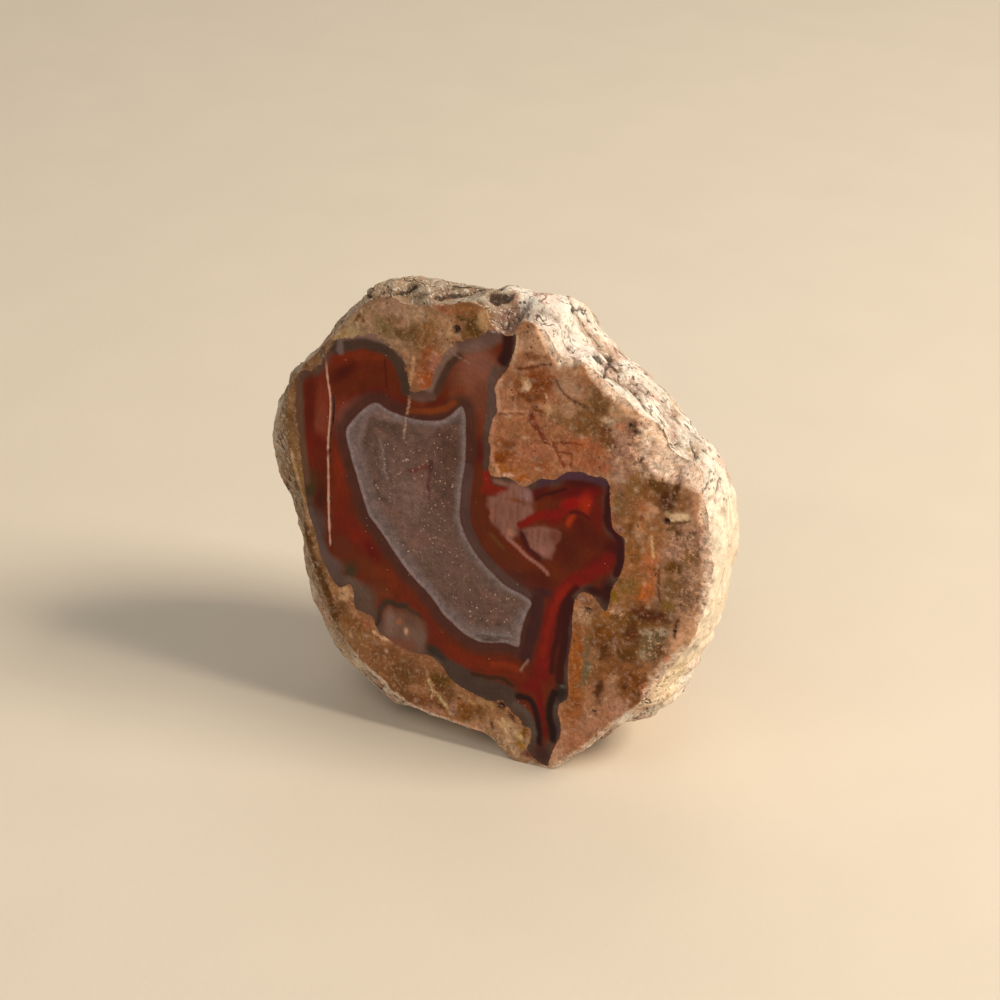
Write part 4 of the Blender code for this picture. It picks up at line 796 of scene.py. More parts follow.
RED_STROKES = [
    (0.14, (78, 30, 14), [(-30.9, 60.5), (-30.8, 58.4), (-30.5, 56.2)]),
    (0.42, (120, 58, 28), [(-26.6, 53.1), (-24.0, 53.6), (-21.8, 54.1), (-20.4, 54.9), (-19.2, 56.0)]),
    (0.1, (176, 140, 120), [(-26.4, 57.6), (-26.7, 55.0), (-26.9, 52.4)]),
    (0.8, (54, 28, 26), [(-11.4, 67.6), (-11.3, 65.2), (-11.8, 63.8)]),
    (0.6, (96, 74, 68), [(-12.9, 62.2), (-13.4, 60.4), (-13.4, 58.0), (-13.3, 55.4), (-13.6, 53.0)]),
    (0.8, (124, 98, 88), [(-23.6, 57.6), (-22.7, 60.2), (-21.6, 62.2), (-20.0, 64.0)]),
    (0.5, (78, 54, 44), [(-22.2, 57.0), (-21.2, 59.8), (-20.0, 62.0), (-18.9, 63.2)]),
    (0.5, (98, 70, 60), [(-26.2, 55.5), (-24.4, 55.6), (-22.8, 56.2)]),
    (0.7, (96, 68, 54), [(-45.6, 54.0), (-45.0, 48.0), (-44.3, 43.0), (-43.6, 38.6)]),
    (0.55, (122, 96, 88), [(-38.6, 62.4), (-36.0, 63.0), (-33.4, 63.6), (-31.0, 62.6), (-29.0, 61.7)]),
    (0.75, (72, 54, 45), [
        (-39.6, 60.6), (-37.0, 61.6), (-34.6, 62.3), (-32.0, 62.2), (-30.0, 61.5), (-28.7, 60.2),
        (-27.8, 58.2), (-27.2, 56.4),
    ]),
    (0.5, (108, 90, 88), [(-38.6, 61.6), (-38.7, 60.4)]),
    (0.7, (90, 72, 68), [(-42.6, 33.4), (-41.2, 29.6), (-39.8, 27.0), (-38.2, 24.8), (-37.0, 23.6)]),
    (0.4, (66, 48, 38), [(-30.0, 17.4), (-29.5, 20.2), (-28.4, 21.5), (-26.8, 21.2), (-25.4, 21.5)]),
    (1.5, (73, 57, 51), [(-17.2, 12.6), (-14.0, 11.4), (-10.0, 11.0), (-7.4, 10.6)]),
    (1.1, (108, 39, 17), [(-17.0, 15.6), (-14.0, 14.9), (-10.0, 14.7), (-7.6, 15.1), (-5.6, 14.6)]),
    (0.5, (124, 46, 14), [(-10.0, 15.2), (-8.0, 15.7), (-6.2, 15.4)]),
    (0.3, (62, 40, 26), [(-13.5, 12.8), (-10.6, 12.9), (-8.6, 13.3), (-6.6, 12.5)]),
    (0.9, (94, 42, 24), [
        (-14.9, 46.0), (-14.6, 42.0), (-13.9, 38.6), (-12.0, 35.6), (-9.6, 33.6), (-7.0, 32.2),
    ]),
    (0.7, (86, 62, 58), [
        (-16.4, 46.0), (-16.5, 40.0), (-16.0, 37.2), (-14.7, 34.6), (-12.9, 32.5), (-10.8, 30.8),
        (-8.4, 29.3),
        (-5.6, 27.9),
    ]),
    (0.3, (96, 58, 30), [(-12.0, 36.4), (-9.8, 34.6)]),
    (0.6, (118, 36, 14), [(-13.6, 43.3), (-12.0, 43.4), (-10.4, 43.7)]),
    (0.6, (128, 36, 14), [(-13.4, 45.7), (-12.8, 44.2)]),
    (0.55, (122, 28, 10), [(-7.3, 38.9), (-5.6, 40.2), (-4.0, 41.2), (-2.4, 41.6), (-0.8, 42.4)]),
    (0.22, (66, 18, 16), [(-5.4, 43.2), (-4.0, 44.4), (-2.4, 45.2), (-0.6, 46.0)]),
    (0.22, (84, 22, 12), [(0.4, 42.6), (2.0, 42.8), (3.6, 42.2)]),
    (0.45, (72, 29, 27), [(-6.9, 37.6), (-6.1, 36.0), (-4.9, 34.9), (-4.0, 34.3)]),
    (0.24, (148, 98, 88), [
        (-9.2, 36.5), (-8.3, 36.0), (-7.0, 35.0), (-5.5, 33.9), (-4.0, 33.2), (-2.2, 32.1),
    ]),
    (0.55, (60, 24, 26), [(6.4, 47.8), (6.3, 44.0), (6.6, 42.0), (8.4, 40.2), (8.9, 37.0), (8.6, 34.4)]),
    (0.5, (78, 50, 62), [(-4.6, 46.2), (-1.8, 47.6), (0.4, 48.4), (3.0, 48.4), (5.4, 48.3)]),
    (1.0, (114, 27, 7), [
        (7.0, 36.6), (5.8, 34.8), (4.0, 33.3), (2.4, 32.2), (1.0, 30.7), (0.0, 29.0), (-0.8, 27.0),
        (-1.3, 25.0), (-1.7, 22.0), (-1.9, 19.0), (-2.1, 16.6),
    ]),
    (0.45, (130, 34, 8), [(1.0, 31.0), (-0.3, 28.6), (-1.2, 25.4), (-1.8, 22.0), (-2.2, 18.6)]),
    (0.9, (66, 36, 36), [(-3.6, 27.4), (-3.8, 24.0), (-4.4, 20.4), (-4.9, 17.8)]),
    (0.45, (68, 9, 7), [(2.4, 31.0), (1.0, 28.8), (0.3, 26.0), (0.0, 22.0), (-0.5, 19.0), (-0.4, 16.4)]),
    (0.65, (60, 22, 20), [(1.6, 28.6), (1.3, 25.0), (1.2, 21.0), (0.9, 18.0), (0.9, 15.4)]),
    (0.2, (74, 50, 50), [(2.0, 26.0), (2.0, 22.0), (1.9, 18.0)]),
    (0.5, (104, 18, 14), [(-2.6, 13.2), (-2.0, 10.6), (-1.5, 8.2)]),
    (0.45, (42, 24, 24), [(-5.6, 10.9), (-4.2, 11.1), (-3.0, 10.0), (-2.2, 8.0), (-1.8, 6.0), (-1.6, 4.0)]),
    (0.55, (86, 72, 64), [(-6.0, 9.4), (-4.2, 8.6), (-3.2, 6.8), (-2.7, 5.2)]),
    (0.55, (40, 20, 22), [(0.3, 13.0), (-0.3, 11.0), (-0.4, 9.0), (0.3, 7.0), (0.5, 5.2)]),
    (0.04, (144, 112, 104), [(-20.7, 64.1), (-19.4, 63.3), (-17.4, 62.3)]),
    (0.08, (190, 164, 160), [(-14.0, 67.9), (-12.4, 68.0), (-11.2, 67.9)]),
    (0.13, (150, 112, 96), [(-5.4, 15.3), (-5.1, 16.4), (-4.4, 17.4)]),
]
# Mauve areas of the right lobe.
MAUVE_COLOUR = (138, 98, 88)
MAUVE_AREAS = [
    [
        (-13.1, 42.4), (-12.7, 40.0), (-11.9, 38.2), (-10.6, 36.9), (-9.3, 36.2), (-8.3, 36.3),
        (-7.6, 38.2),
        (-6.2, 39.8), (-5.2, 41.4), (-5.5, 43.2), (-5.9, 45.0), (-8.0, 45.0), (-10.0, 44.2), (-11.8, 42.8),
    ],
    [
        (-7.1, 38.2), (-5.0, 39.3), (-3.3, 39.8), (-1.2, 39.6), (-0.8, 38.0), (-1.5, 36.2), (-2.2, 34.7),
        (-3.7, 34.3), (-4.7, 35.0), (-5.8, 36.2),
    ],
]
MAUVE_STROKES = [
    (0.5, (122, 28, 10), [(-7.3, 38.9), (-5.6, 40.2), (-4.0, 41.2), (-2.4, 41.6), (-0.8, 42.4)]),
    (0.4, (72, 29, 27), [(-6.9, 37.6), (-6.1, 36.0), (-4.9, 34.9), (-4.0, 34.3)]),
    (0.2, (148, 98, 88), [
        (-9.2, 36.5), (-8.3, 36.0), (-7.0, 35.0), (-5.5, 33.9), (-4.0, 33.2), (-2.2, 32.1),
    ]),
]
MAUVE_SPOTS = [
    (-3.2, 35.6, 0.8, 0.8, 0.0, (148, 98, 94)), (-4.4, 38.0, 1.4, 1.0, 0.0, (134, 92, 84)),
    (-1.6, 38.4, 0.9, 1.2, 0.0, (112, 66, 54)), (-8.0, 42.6, 1.6, 0.3, 0.0, (122, 68, 46)),
    (-9.0, 37.4, 0.8, 0.6, 0.0, (164, 112, 94)), (-12.0, 39.6, 0.5, 1.0, 0.0, (150, 96, 82)),
    (-6.8, 43.8, 0.9, 0.9, 0.0, (144, 108, 106)),
]

CORE_SPOTS = [
    (-34.6, 47.8, 0.9, 3.2, -12.0, (122, 99, 93)), (-33.2, 47.6, 0.7, 3.6, -14.0, (88, 64, 55)),
    (-29.2, 49.9, 3.0, 0.9, 0.0, (82, 60, 51)), (-28.6, 46.6, 3.4, 2.4, 0.0, (102, 76, 66)),
    (-27.0, 42.4, 3.0, 3.0, 0.0, (110, 86, 76)), (-26.0, 38.6, 3.2, 3.0, 0.0, (114, 90, 80)),
    (-29.6, 37.0, 2.6, 2.4, 30.0, (106, 82, 74)), (-25.0, 33.4, 4.6, 2.4, -40.0, (108, 84, 74)),
    (-22.4, 46.4, 2.6, 2.8, 0.0, (98, 72, 60)), (-19.6, 48.4, 1.8, 4.0, 0.0, (86, 58, 45)),
    (-20.0, 40.6, 1.8, 4.0, 0.0, (88, 62, 50)), (-20.4, 35.4, 2.6, 3.0, 0.0, (100, 76, 65)),
    (-17.0, 30.4, 3.0, 2.4, -30.0, (102, 77, 67)), (-15.6, 26.6, 4.0, 1.8, -35.0, (102, 78, 66)),
    (-11.4, 24.4, 4.4, 2.6, -20.0, (96, 72, 61)), (-12.0, 28.0, 2.0, 1.0, -30.0, (98, 76, 67)),
    (-9.6, 26.0, 2.4, 1.2, -20.0, (104, 80, 70)), (-8.6, 22.4, 1.8, 1.6, 0.0, (98, 74, 64)),
    (-24.4, 40.8, 0.6, 1.6, 0.0, (128, 101, 91)), (-30.0, 51.6, 3.0, 0.7, 0.0, (124, 98, 91)),
    (-23.0, 50.8, 3.0, 0.6, 5.0, (108, 80, 70)), (-20.6, 50.4, 1.6, 0.9, 0.0, (84, 54, 42)),
]
CORE_STROKES = [
    (0.18, (86, 69, 62), [(-32.0, 48.0), (-31.6, 45.0), (-30.8, 41.6)]),
    (0.2, (90, 72, 64), [(-30.2, 47.6), (-29.8, 44.4), (-28.8, 41.0)]),
    (0.16, (122, 106, 102), [(-31.0, 47.8), (-30.6, 44.8), (-29.8, 41.6)]),
    (0.22, (84, 66, 58), [(-31.8, 40.8), (-31.0, 38.8), (-29.6, 38.0)]),
    (0.26, (102, 52, 44), [(-26.1, 43.6), (-24.8, 44.0), (-23.6, 44.6), (-22.8, 45.4)]),
    (0.3, (66, 40, 36), [(-22.6, 45.7), (-22.5, 44.6)]),
    (0.22, (84, 44, 38), [(-22.6, 44.8), (-22.7, 43.2), (-22.6, 41.6)]),
    (0.1, (88, 54, 48), [(-22.6, 41.6), (-22.3, 40.4), (-22.4, 39.0)]),
    (0.1, (170, 140, 124), [(-26.9, 52.4), (-27.1, 50.6), (-27.2, 48.8)]),
    (0.16, (126, 116, 112), [(-12.4, 20.0), (-9.6, 20.3), (-7.6, 20.6)]),
    (0.14, (88, 74, 66), [(-13.0, 19.6), (-9.8, 19.8), (-8.2, 20.0)]),
    (0.14, (72, 60, 52), [(-12.4, 19.1), (-9.8, 19.45)]),
]
# Fine glitter of the filled centre: places and radii where it is thick.
GLITTER = [
    (-19.6, 47.0, 2.2, 5.0), (-18.6, 42.0, 1.2, 4.0), (-21.0, 38.0, 3.0, 3.0), (-16.0, 30.0, 3.0, 3.0),
    (-12.0, 25.5, 4.5, 3.5), (-9.0, 22.0, 2.0, 1.4), (-25.0, 31.0, 3.0, 2.0), (-27.0, 45.0, 4.0, 3.0),
    (-30.5, 39.0, 2.0, 1.5), (-22.0, 33.0, 2.5, 2.5),
]


# What a white spot of the face shows under the lamps, and what its polish adds to every spot.
FACE_WHITE = np.array((0.72, 0.735, 0.75))
FACE_SHEEN = np.array((0.009, 0.008, 0.007))
BRIGHTEST = 0.9

RIND_CREAM = (243, 232, 216)
RIND_YELLOW = (246, 222, 182)
RIND_PINK = (206, 160, 140)
RIND_TAN = (176, 140, 104)
RIND_BROWN = (128, 96, 66)
RIND_GREY = (196, 184, 166)
RIND_SAWN = (138, 106, 74)
RIND_PIT = (96, 70, 46)
# Painted shade of the rind's seams and hollows.
SEAM_SHADE = (104, 78, 54)
RIND_CLEFT = (84, 62, 44)

# Patches of the rind: real stains, and the darker tan patches along the top left and the left side, which
# are painted shade under the ledges and on the side away from the key lamp: place, radius, colour and
# strength.
RIND_STAINS_AND_SHADE = [
    (-5.0, 70.2, 3.4, 5.0, (252, 244, 232), 0.6), (1.0, 66.0, 3.2, 4.5, (250, 240, 226), 0.5),
    (9.0, 61.0, 3.4, 4.5, (250, 240, 226), 0.5),
    (-26.0, 71.5, 3.0, 6.0, (158, 134, 104), 0.7), (-19.0, 71.5, 4.5, 4.0, (150, 126, 96), 0.7),
    (-14.6, 69.0, 1.6, 2.8, (142, 108, 78), 0.75), (-34.0, 69.5, 2.0, 5.0, (188, 162, 130), 0.6),
    (-9.5, 70.5, 8.0, 2.6, (176, 134, 112), 0.6), (-3.0, 68.0, 9.0, 2.2, (170, 128, 106), 0.55),
    (3.0, 64.0, 4.0, 1.8, (196, 150, 128), 0.6), (8.0, 62.0, 5.0, 2.2, (172, 146, 128), 0.6),
    (12.0, 60.0, 8.0, 2.2, (150, 118, 98), 0.55), (14.0, 57.0, 4.5, 1.6, (190, 120, 90), 0.5),
    (-46.0, 50.0, 2.0, 7.0, (150, 118, 84), 0.6), (-44.5, 36.0, 2.0, 7.0, (132, 104, 70), 0.7),
    (-40.0, 24.0, 2.0, 6.0, (140, 108, 74), 0.6), (-11.4, 69.8, 1.0, 3.4, (134, 98, 82), 0.9),
    (-15.6, 70.6, 0.4, 1.8, (112, 80, 50), 0.85), (17.4, 18.0, 3.4, 5.0, (246, 222, 184), 0.85),
    (14.6, 14.8, 1.2, 3.0, (240, 212, 180), 0.8),
]


def linear(colour):
    """A colour of 0 to 255 as linear light."""
    c = np.asarray(colour, float) / 255.0
    return np.where(c <= 0.04045, c / 12.92, ((c + 0.055) / 1.055) ** 2.4)


def seen(colour):
    """The surface colour that shows as this colour on the face under the lamps."""
    surface = (linear(colour) - FACE_SHEEN) / FACE_WHITE
    return np.clip(surface / max(1.0, surface.max() / BRIGHTEST), 0.001, BRIGHTEST)


def lay(tint, colour, mask):
    """Lays a colour over the tint where the mask is above 0."""
    tint += mask[:, None] * (colour - tint)


def spot_mask(spots, u, v, half_wide, half_high, turn, edge=0.55):
    """From 0 to 1 inside a soft turned ellipse."""
    c, s = math.cos(math.radians(turn)), math.sin(math.radians(turn))
    du, dv = spots[:, 0] - u, spots[:, 1] - v
    away = np.hypot((du * c + dv * s) / half_wide, (dv * c - du * s) / half_high)
    return 1.0 - smooth_step(edge, 2.0 - edge, away)


def lay_spots(tint, spots, marks, edge=0.55):
    for u, v, half_wide, half_high, turn, colour in marks:
        lay(tint, seen(colour), spot_mask(spots, u, v, half_wide, half_high, turn, edge))


def lay_strokes(tint, spots, strokes, softness=0.4):
    for half, colour, corners in strokes:
        gap = distance_to(spots, open_curve(corners, 0.6))
        soft = max(0.16, softness * half)
        lay(tint, seen(colour), 1.0 - smooth_step(half - soft * 0.5, half + soft, gap))


def wavered(points, size, amount, seed, seed_step=7.0):
    """The points moved about a little, which gives soft marks ragged edges."""
    seeds = seed + seed_step * np.arange(points.shape[1])
    return points + amount * np.stack([grain(points, size, s) for s in seeds], axis=1)


def ground_tint(spots, wear):
    """Colour of the brown matrix at each spot of the face."""
    ragged = wavered(wavered(spots, 2.2, 0.7, 71.0), 0.8, 0.5, 73.0)
    tint = np.tile(seen(GROUND_COLOUR), (len(spots), 1))
    lay_spots(tint, ragged, GROUND_REGIONS, 0.3)
    lay_spots(tint, ragged, GROUND_SPOTS, 0.5)
    lay_strokes(tint, wavered(spots, 0.9, 0.14, 75.0), GROUND_STROKES)
    # Painted shade: the small holes laid near black.
    lay(tint, seen(HOLE_SHADE), face_holes(spots)[1])
    crumbs = smooth_step(0.05, 0.55, wear + 0.35 * grain(spots, 0.9, 77.0))
    lay(tint, linear(WORN_PALE), crumbs * 0.95)
    stains = smooth_step(0.1, 0.45, grain(spots, 1.8, 78.0)) * smooth_step(0.0, 0.3, wear)
    lay(tint, linear(WORN_BROWN), stains * 0.6)
    return tint


# A place that no mark reaches, for the spots outside a mauve area.
FAR_AWAY = 1e3


def agate_tint(spots, edge_depth, core_depth):
    """Colour of the banded agate at each spot, inside its edge and outside its centre."""
    eased = wavered(spots, 1.8, 0.22, 81.0)
    sway = grain(spots, 3.0, 83.0)
    fibres = smooth_step(0.0, 0.45, grain(spots / FIBRE_SIZE, 1.0, 87.0))
    tint = np.tile(seen(RED_COLOUR), (len(spots), 1))
    lay(tint, seen(OUTER_BAND), 1.0 - smooth_step(0.6, 1.9, edge_depth + 0.5 * sway))
    lay_spots(tint, eased, RED_SPOTS, 0.3)
    lay(tint, seen(INNER_BAND), smooth_step(-2.6, -1.0, core_depth + 0.45 * sway) * 0.85)
    lay_strokes(tint, eased, RED_STROKES, 0.6)
    for area in MAUVE_AREAS:
        inside = depth_inside(wavered(eased, 1.3, 0.55, 85.0), closed_curve(area))
        lay(tint, seen(MAUVE_COLOUR), smooth_step(-0.35, 0.6, inside) * 0.88)
        lay_spots(tint, np.where((inside > 0)[:, None], eased, FAR_AWAY), MAUVE_SPOTS, 0.4)
        lay(tint, seen(FIBRE_COLOUR), fibres * smooth_step(0.0, 0.8, inside) * 0.55)
    lay_strokes(tint, eased, MAUVE_STROKES)
    pale, slit = crack_marks(spots)
    # Painted highlight on the crack's chipped edge, and painted shade in its slit.
    lay(tint, seen(CHIP_PALE_AND_HIGHLIGHT), pale * 0.85)
    lay(tint, seen(SLIT_SHADE), slit)
    return tint


def core_tint(spots, core_depth):
    """Colour of the grey filled centre at each spot."""
    eased = wavered(spots, 1.2, 0.3, 91.0)
    tint = np.tile(seen(CORE_COLOUR), (len(spots), 1))
    lay_spots(tint, eased, CORE_SPOTS, 0.3)
    blush = smooth_step(0.05, 0.45, grain(spots, 3.2, 93.0)) * smooth_step(1.5, 3.5, core_depth)
    lay(tint, seen(CORE_BLUSH), blush * 0.5)
    left = 1.0 - smooth_step(-27.0, -17.0, spots[:, 0] + 0.5 * (spots[:, 1] - 26.0))
    low = 1.0 - smooth_step(21.0, 27.0, spots[:, 1])
    wide = 1.1 + 1.7 * np.maximum(left, 0.8 * low) + 0.5 * grain(spots, 2.4, 95.0)
    lay(tint, seen(CORE_ZONE), (1.0 - smooth_step(0.4 * wide, 1.3 * wide, core_depth)) * 0.9)
    line = 1.0 - smooth_step(0.12, 0.42, np.abs(core_depth - 0.3 - 0.12 * grain(spots, 3.0, 97.0)))
    lay(tint, seen(CORE_RIM), line * (0.55 + 0.3 * left))
    lay_strokes(tint, eased, CORE_STROKES, 0.8)
    return tint


def calm_of(points):
    """From 0 to 1, how smooth and clean the rind is at each point."""
    right = smooth_step(14.0, 20.0, points[:, 0]) * (1.0 - smooth_step(40.0, 54.0, points[:, 1]))
    right *= smooth_step(14.0, 22.0, points[:, 1])
    patches = smooth_step(0.15, 0.5, grain(points, 8.0, 105.0))
    return np.clip(np.maximum(right, 0.7 * patches), 0.0, 1.0)


def rind_tint(points, cleft, pits, seam):
    """Colour of the rind at each point: a light, dry, weathered skin, with painted shade on its left side,
    along the top left and in its hollows and seams.
    """
    ragged = wavered(points, 1.6, 1.2, 111.0, seed_step=1.0)
    cream = np.tile(linear(RIND_CREAM), (len(points), 1))
    calm = calm_of(points)
    busy = 1.0 - 0.75 * calm
    lay(cream, linear(RIND_YELLOW), calm * 0.5)
    lay(cream, linear(RIND_GREY), smooth_step(0.05, 0.5, grain(ragged, 9.0, 101.0)) * 0.7)
    lay(cream, linear(RIND_PINK), smooth_step(0.08, 0.32, grain(ragged, 4.5, 103.0)) * 0.7 * busy)
    lay(cream, linear(RIND_TAN), smooth_step(0.12, 0.4, grain(ragged, 5.5, 107.0)) * 0.7 * busy)
    lay(cream, linear(RIND_BROWN), smooth_step(0.22, 0.5, grain(ragged, 2.6, 109.0)) * 0.7 * busy)
    # Painted shade: the left side, away from the key lamp, laid darker tan.
    shade_side = 1.0 - smooth_step(-34.0, -14.0, points[:, 0] + 0.25 * points[:, 2])
    lay(cream, linear(RIND_TAN), shade_side * 0.45)
    sawn = (1.0 - smooth_step(0.3, 2.0, ragged[:, 2])) * (1.0 - smooth_step(-22.0, -12.0, points[:, 0]))
    low_side = smooth_step(8.0, 16.0, points[:, 1]) * (1.0 - 0.7 * smooth_step(58.0, 66.0, points[:, 1]))
    lay(cream, linear(RIND_SAWN), sawn * low_side * 0.85)
    # Real stains, and darker tan patches that are painted shade along the top left and the left side.
    for u, v, b, radius, colour, strength in RIND_STAINS_AND_SHADE:
        away = np.linalg.norm(ragged - (u, v, b), axis=1) / radius
        lay(cream, linear(colour), (1.0 - smooth_step(0.5, 1.3, away)) * strength)
    lay(cream, linear(RIND_PIT), smooth_step(0.2, 0.9, pits) * 0.7)
    # Painted shade: the hollows and the seams under ledges laid darker.
    lay(cream, linear(SEAM_SHADE), (1.0 - smooth_step(-0.3, 0.8, seam)) * 0.7)
    lay(cream, linear(RIND_CLEFT), (1.0 - smooth_step(0.015, 0.06, cleft)) * 0.6)
    return cream


def add_values(mesh, name, kind, domain, values):
    """Stores one value per point or face on the mesh for its material."""
    slot = {"FLOAT": "value", "FLOAT_VECTOR": "vector", "FLOAT_COLOR": "color"}[kind]
    stored = mesh.attributes.new(name, kind, domain)
    stored.data.foreach_set(slot, np.asarray(values, np.float32).ravel())


def make_stone():
    """The stone's points and triangles in face coordinates, and which triangles are the face."""
    stone = stone_in_face_coordinates()
    rim = rim_of_the_face(stone)
    flat, face = face_triangles(rim)
    rings = rind_rings(rind_columns(stone, rim))
    points = [np.column_stack([flat, np.zeros(len(flat))])]
    numbers = np.arange(len(rim))
    total = len(flat)
    rind = []
    for ring in rings:
        following = np.arange(total, total + len(ring))
        rind += zip_rings(numbers, following)
        points.append(ring)
        numbers, total = following, total + len(ring)
    return np.vstack(points), np.array(face), np.array(rind), len(flat), len(rim)


def facing_out(points, triangles, middle):
    """The triangles turned so that their normals point away from the middle."""
    a, b, c = (points[triangles[:, k]] for k in range(3))
    inward = np.einsum("ij,ij->i", np.cross(b - a, c - a), (a + b + c) / 3.0 - middle) < 0.0
    turned = triangles.copy()
    turned[inward] = turned[inward][:, ::-1]
    return turned


def kept_in_box(world):
    """The points moved into the box of the CAD solid where they would pass it."""
    low, high = (np.array(corner) for corner in cad_box)
    return np.clip(world, low, high)


# A point well inside the stone.
INNER_POINT = np.array((*MIDDLE, 12.0))

# How far outside the agate and its centre the rind counts as being.
OUTSIDE_AGATE = 4.0
OUTSIDE_CORE = 9.0


def with_relief(points, rind, spots, wear, heights):
    """The points moved by the relief of the face and of the rind."""
    count = len(spots)
    skin = points[count:]
    placed = points.copy()
    placed[:count, 2] += face_depth(spots, wear)
    placed[count:] += outward(points, rind)[count:] * heights[:, None]
    placed[count:, 2] += worn_at(skin)[1] * np.clip(1.0 - skin[:, 2] / WORN_REACH, 0.0, 1.0)
    return placed


def softness_of_edge(spots):
    """How many times softer than elsewhere the agate's edge is: it blurs at the upper left."""
    upper = smooth_step(50.0, 58.0, spots[:, 1] - 0.4 * spots[:, 0] - 6.0)
    return 1.0 + 3.0 * upper * (spots[:, 0] < -13.5)


def store_looks(mesh, spots, skin, wear, fields):
    """Stores where each kind of stone lies and its colours, for the face's points and the rind's."""
    cleft, pits, _, seam = fields
    edge_depth = depth_inside(spots, closed_curve(AGATE_EDGE))
    core_depth = depth_inside(spots, closed_curve(CORE_EDGE))
    gloss = 1.0 - np.maximum(0.75 * roughness_of_spots(spots), smooth_step(0.02, 0.3, wear))
    on_face, on_rind = np.zeros(len(spots)), np.zeros(len(skin))
    numbers = {
        "gloss": (gloss, on_rind),
        "agate": (edge_depth / softness_of_edge(spots), on_rind - OUTSIDE_AGATE),
        "core": (core_depth, on_rind - OUTSIDE_CORE),
        "glitter": (glitter_of(spots), on_rind),
        "cleft": (on_face + 1.0, cleft),
        "calm": (on_face, calm_of(skin)),
        "seam": (on_face + SEAM_REACH, seam),
    }
    for name, parts in numbers.items():
        add_values(mesh, name, "FLOAT", "POINT", np.concatenate(parts))

    unseen = np.tile(seen(OUTER_BAND), (len(skin), 1))
    colours = {
        "ground_tint": (ground_tint(spots, wear), rind_tint(skin, cleft, pits, seam)),
        "agate_tint": (agate_tint(spots, edge_depth, core_depth), unseen),
        "core_tint": (core_tint(spots, core_depth), unseen),
    }
    for name, parts in colours.items():
        tint = np.vstack(parts)
        add_values(mesh, name, "FLOAT_COLOR", "POINT", np.column_stack([tint, np.ones(len(tint))]))


def build_stone():
    """The mesh of the whole stone, with the values that its material reads."""
    points, face, rind, face_count, rim_count = make_stone()
    face, rind = facing_out(points, face, INNER_POINT), facing_out(points, rind, INNER_POINT)
    spots, skin = points[:face_count, :2].copy(), points[face_count:].copy()
    wear = wear_of(spots, points[:rim_count])
    fields = rind_fields(skin)
    placed = with_relief(points, rind, spots, wear, rind_height(skin, *fields[:3]))

    mesh = bpy.data.meshes.new("agate_nodule_half")
    triangles = np.vstack([face, rind])
    mesh.from_pydata(kept_in_box(to_world(placed)).tolist(), [], triangles.tolist())
    mesh.shade_smooth()
    mark_rim_sharp(mesh, rim_count)
    add_values(mesh, "polish", "FLOAT", "FACE", np.arange(len(triangles)) < len(face))
    add_values(mesh, "spot", "FLOAT_VECTOR", "POINT", points)
    store_looks(mesh, spots, skin, wear, fields)
    mesh.update()
    return mesh


def mark_rim_sharp(mesh, rim_count):
    """The sawn edge between the face and the rind stays crisp."""
    ends = np.empty(len(mesh.edges) * 2, np.int32)
    mesh.edges.foreach_get("vertices", ends)
    ends = ends.reshape(-1, 2)
    on_rim = (ends < rim_count).all(axis=1)
    apart = np.abs(ends[:, 0] - ends[:, 1])
    mesh.edges.foreach_set("use_edge_sharp", on_rim & ((apart == 1) | (apart == rim_count - 1)))


def glitter_of(spots):
    """From 0 to 1, how thick the fine glitter is at each spot."""
    thick = np.zeros(len(spots))
    for u, v, half_wide, half_high in GLITTER:
        thick = np.maximum(thick, spot_mask(spots, u, v, half_wide, half_high, 0.0, 0.3))
    return thick


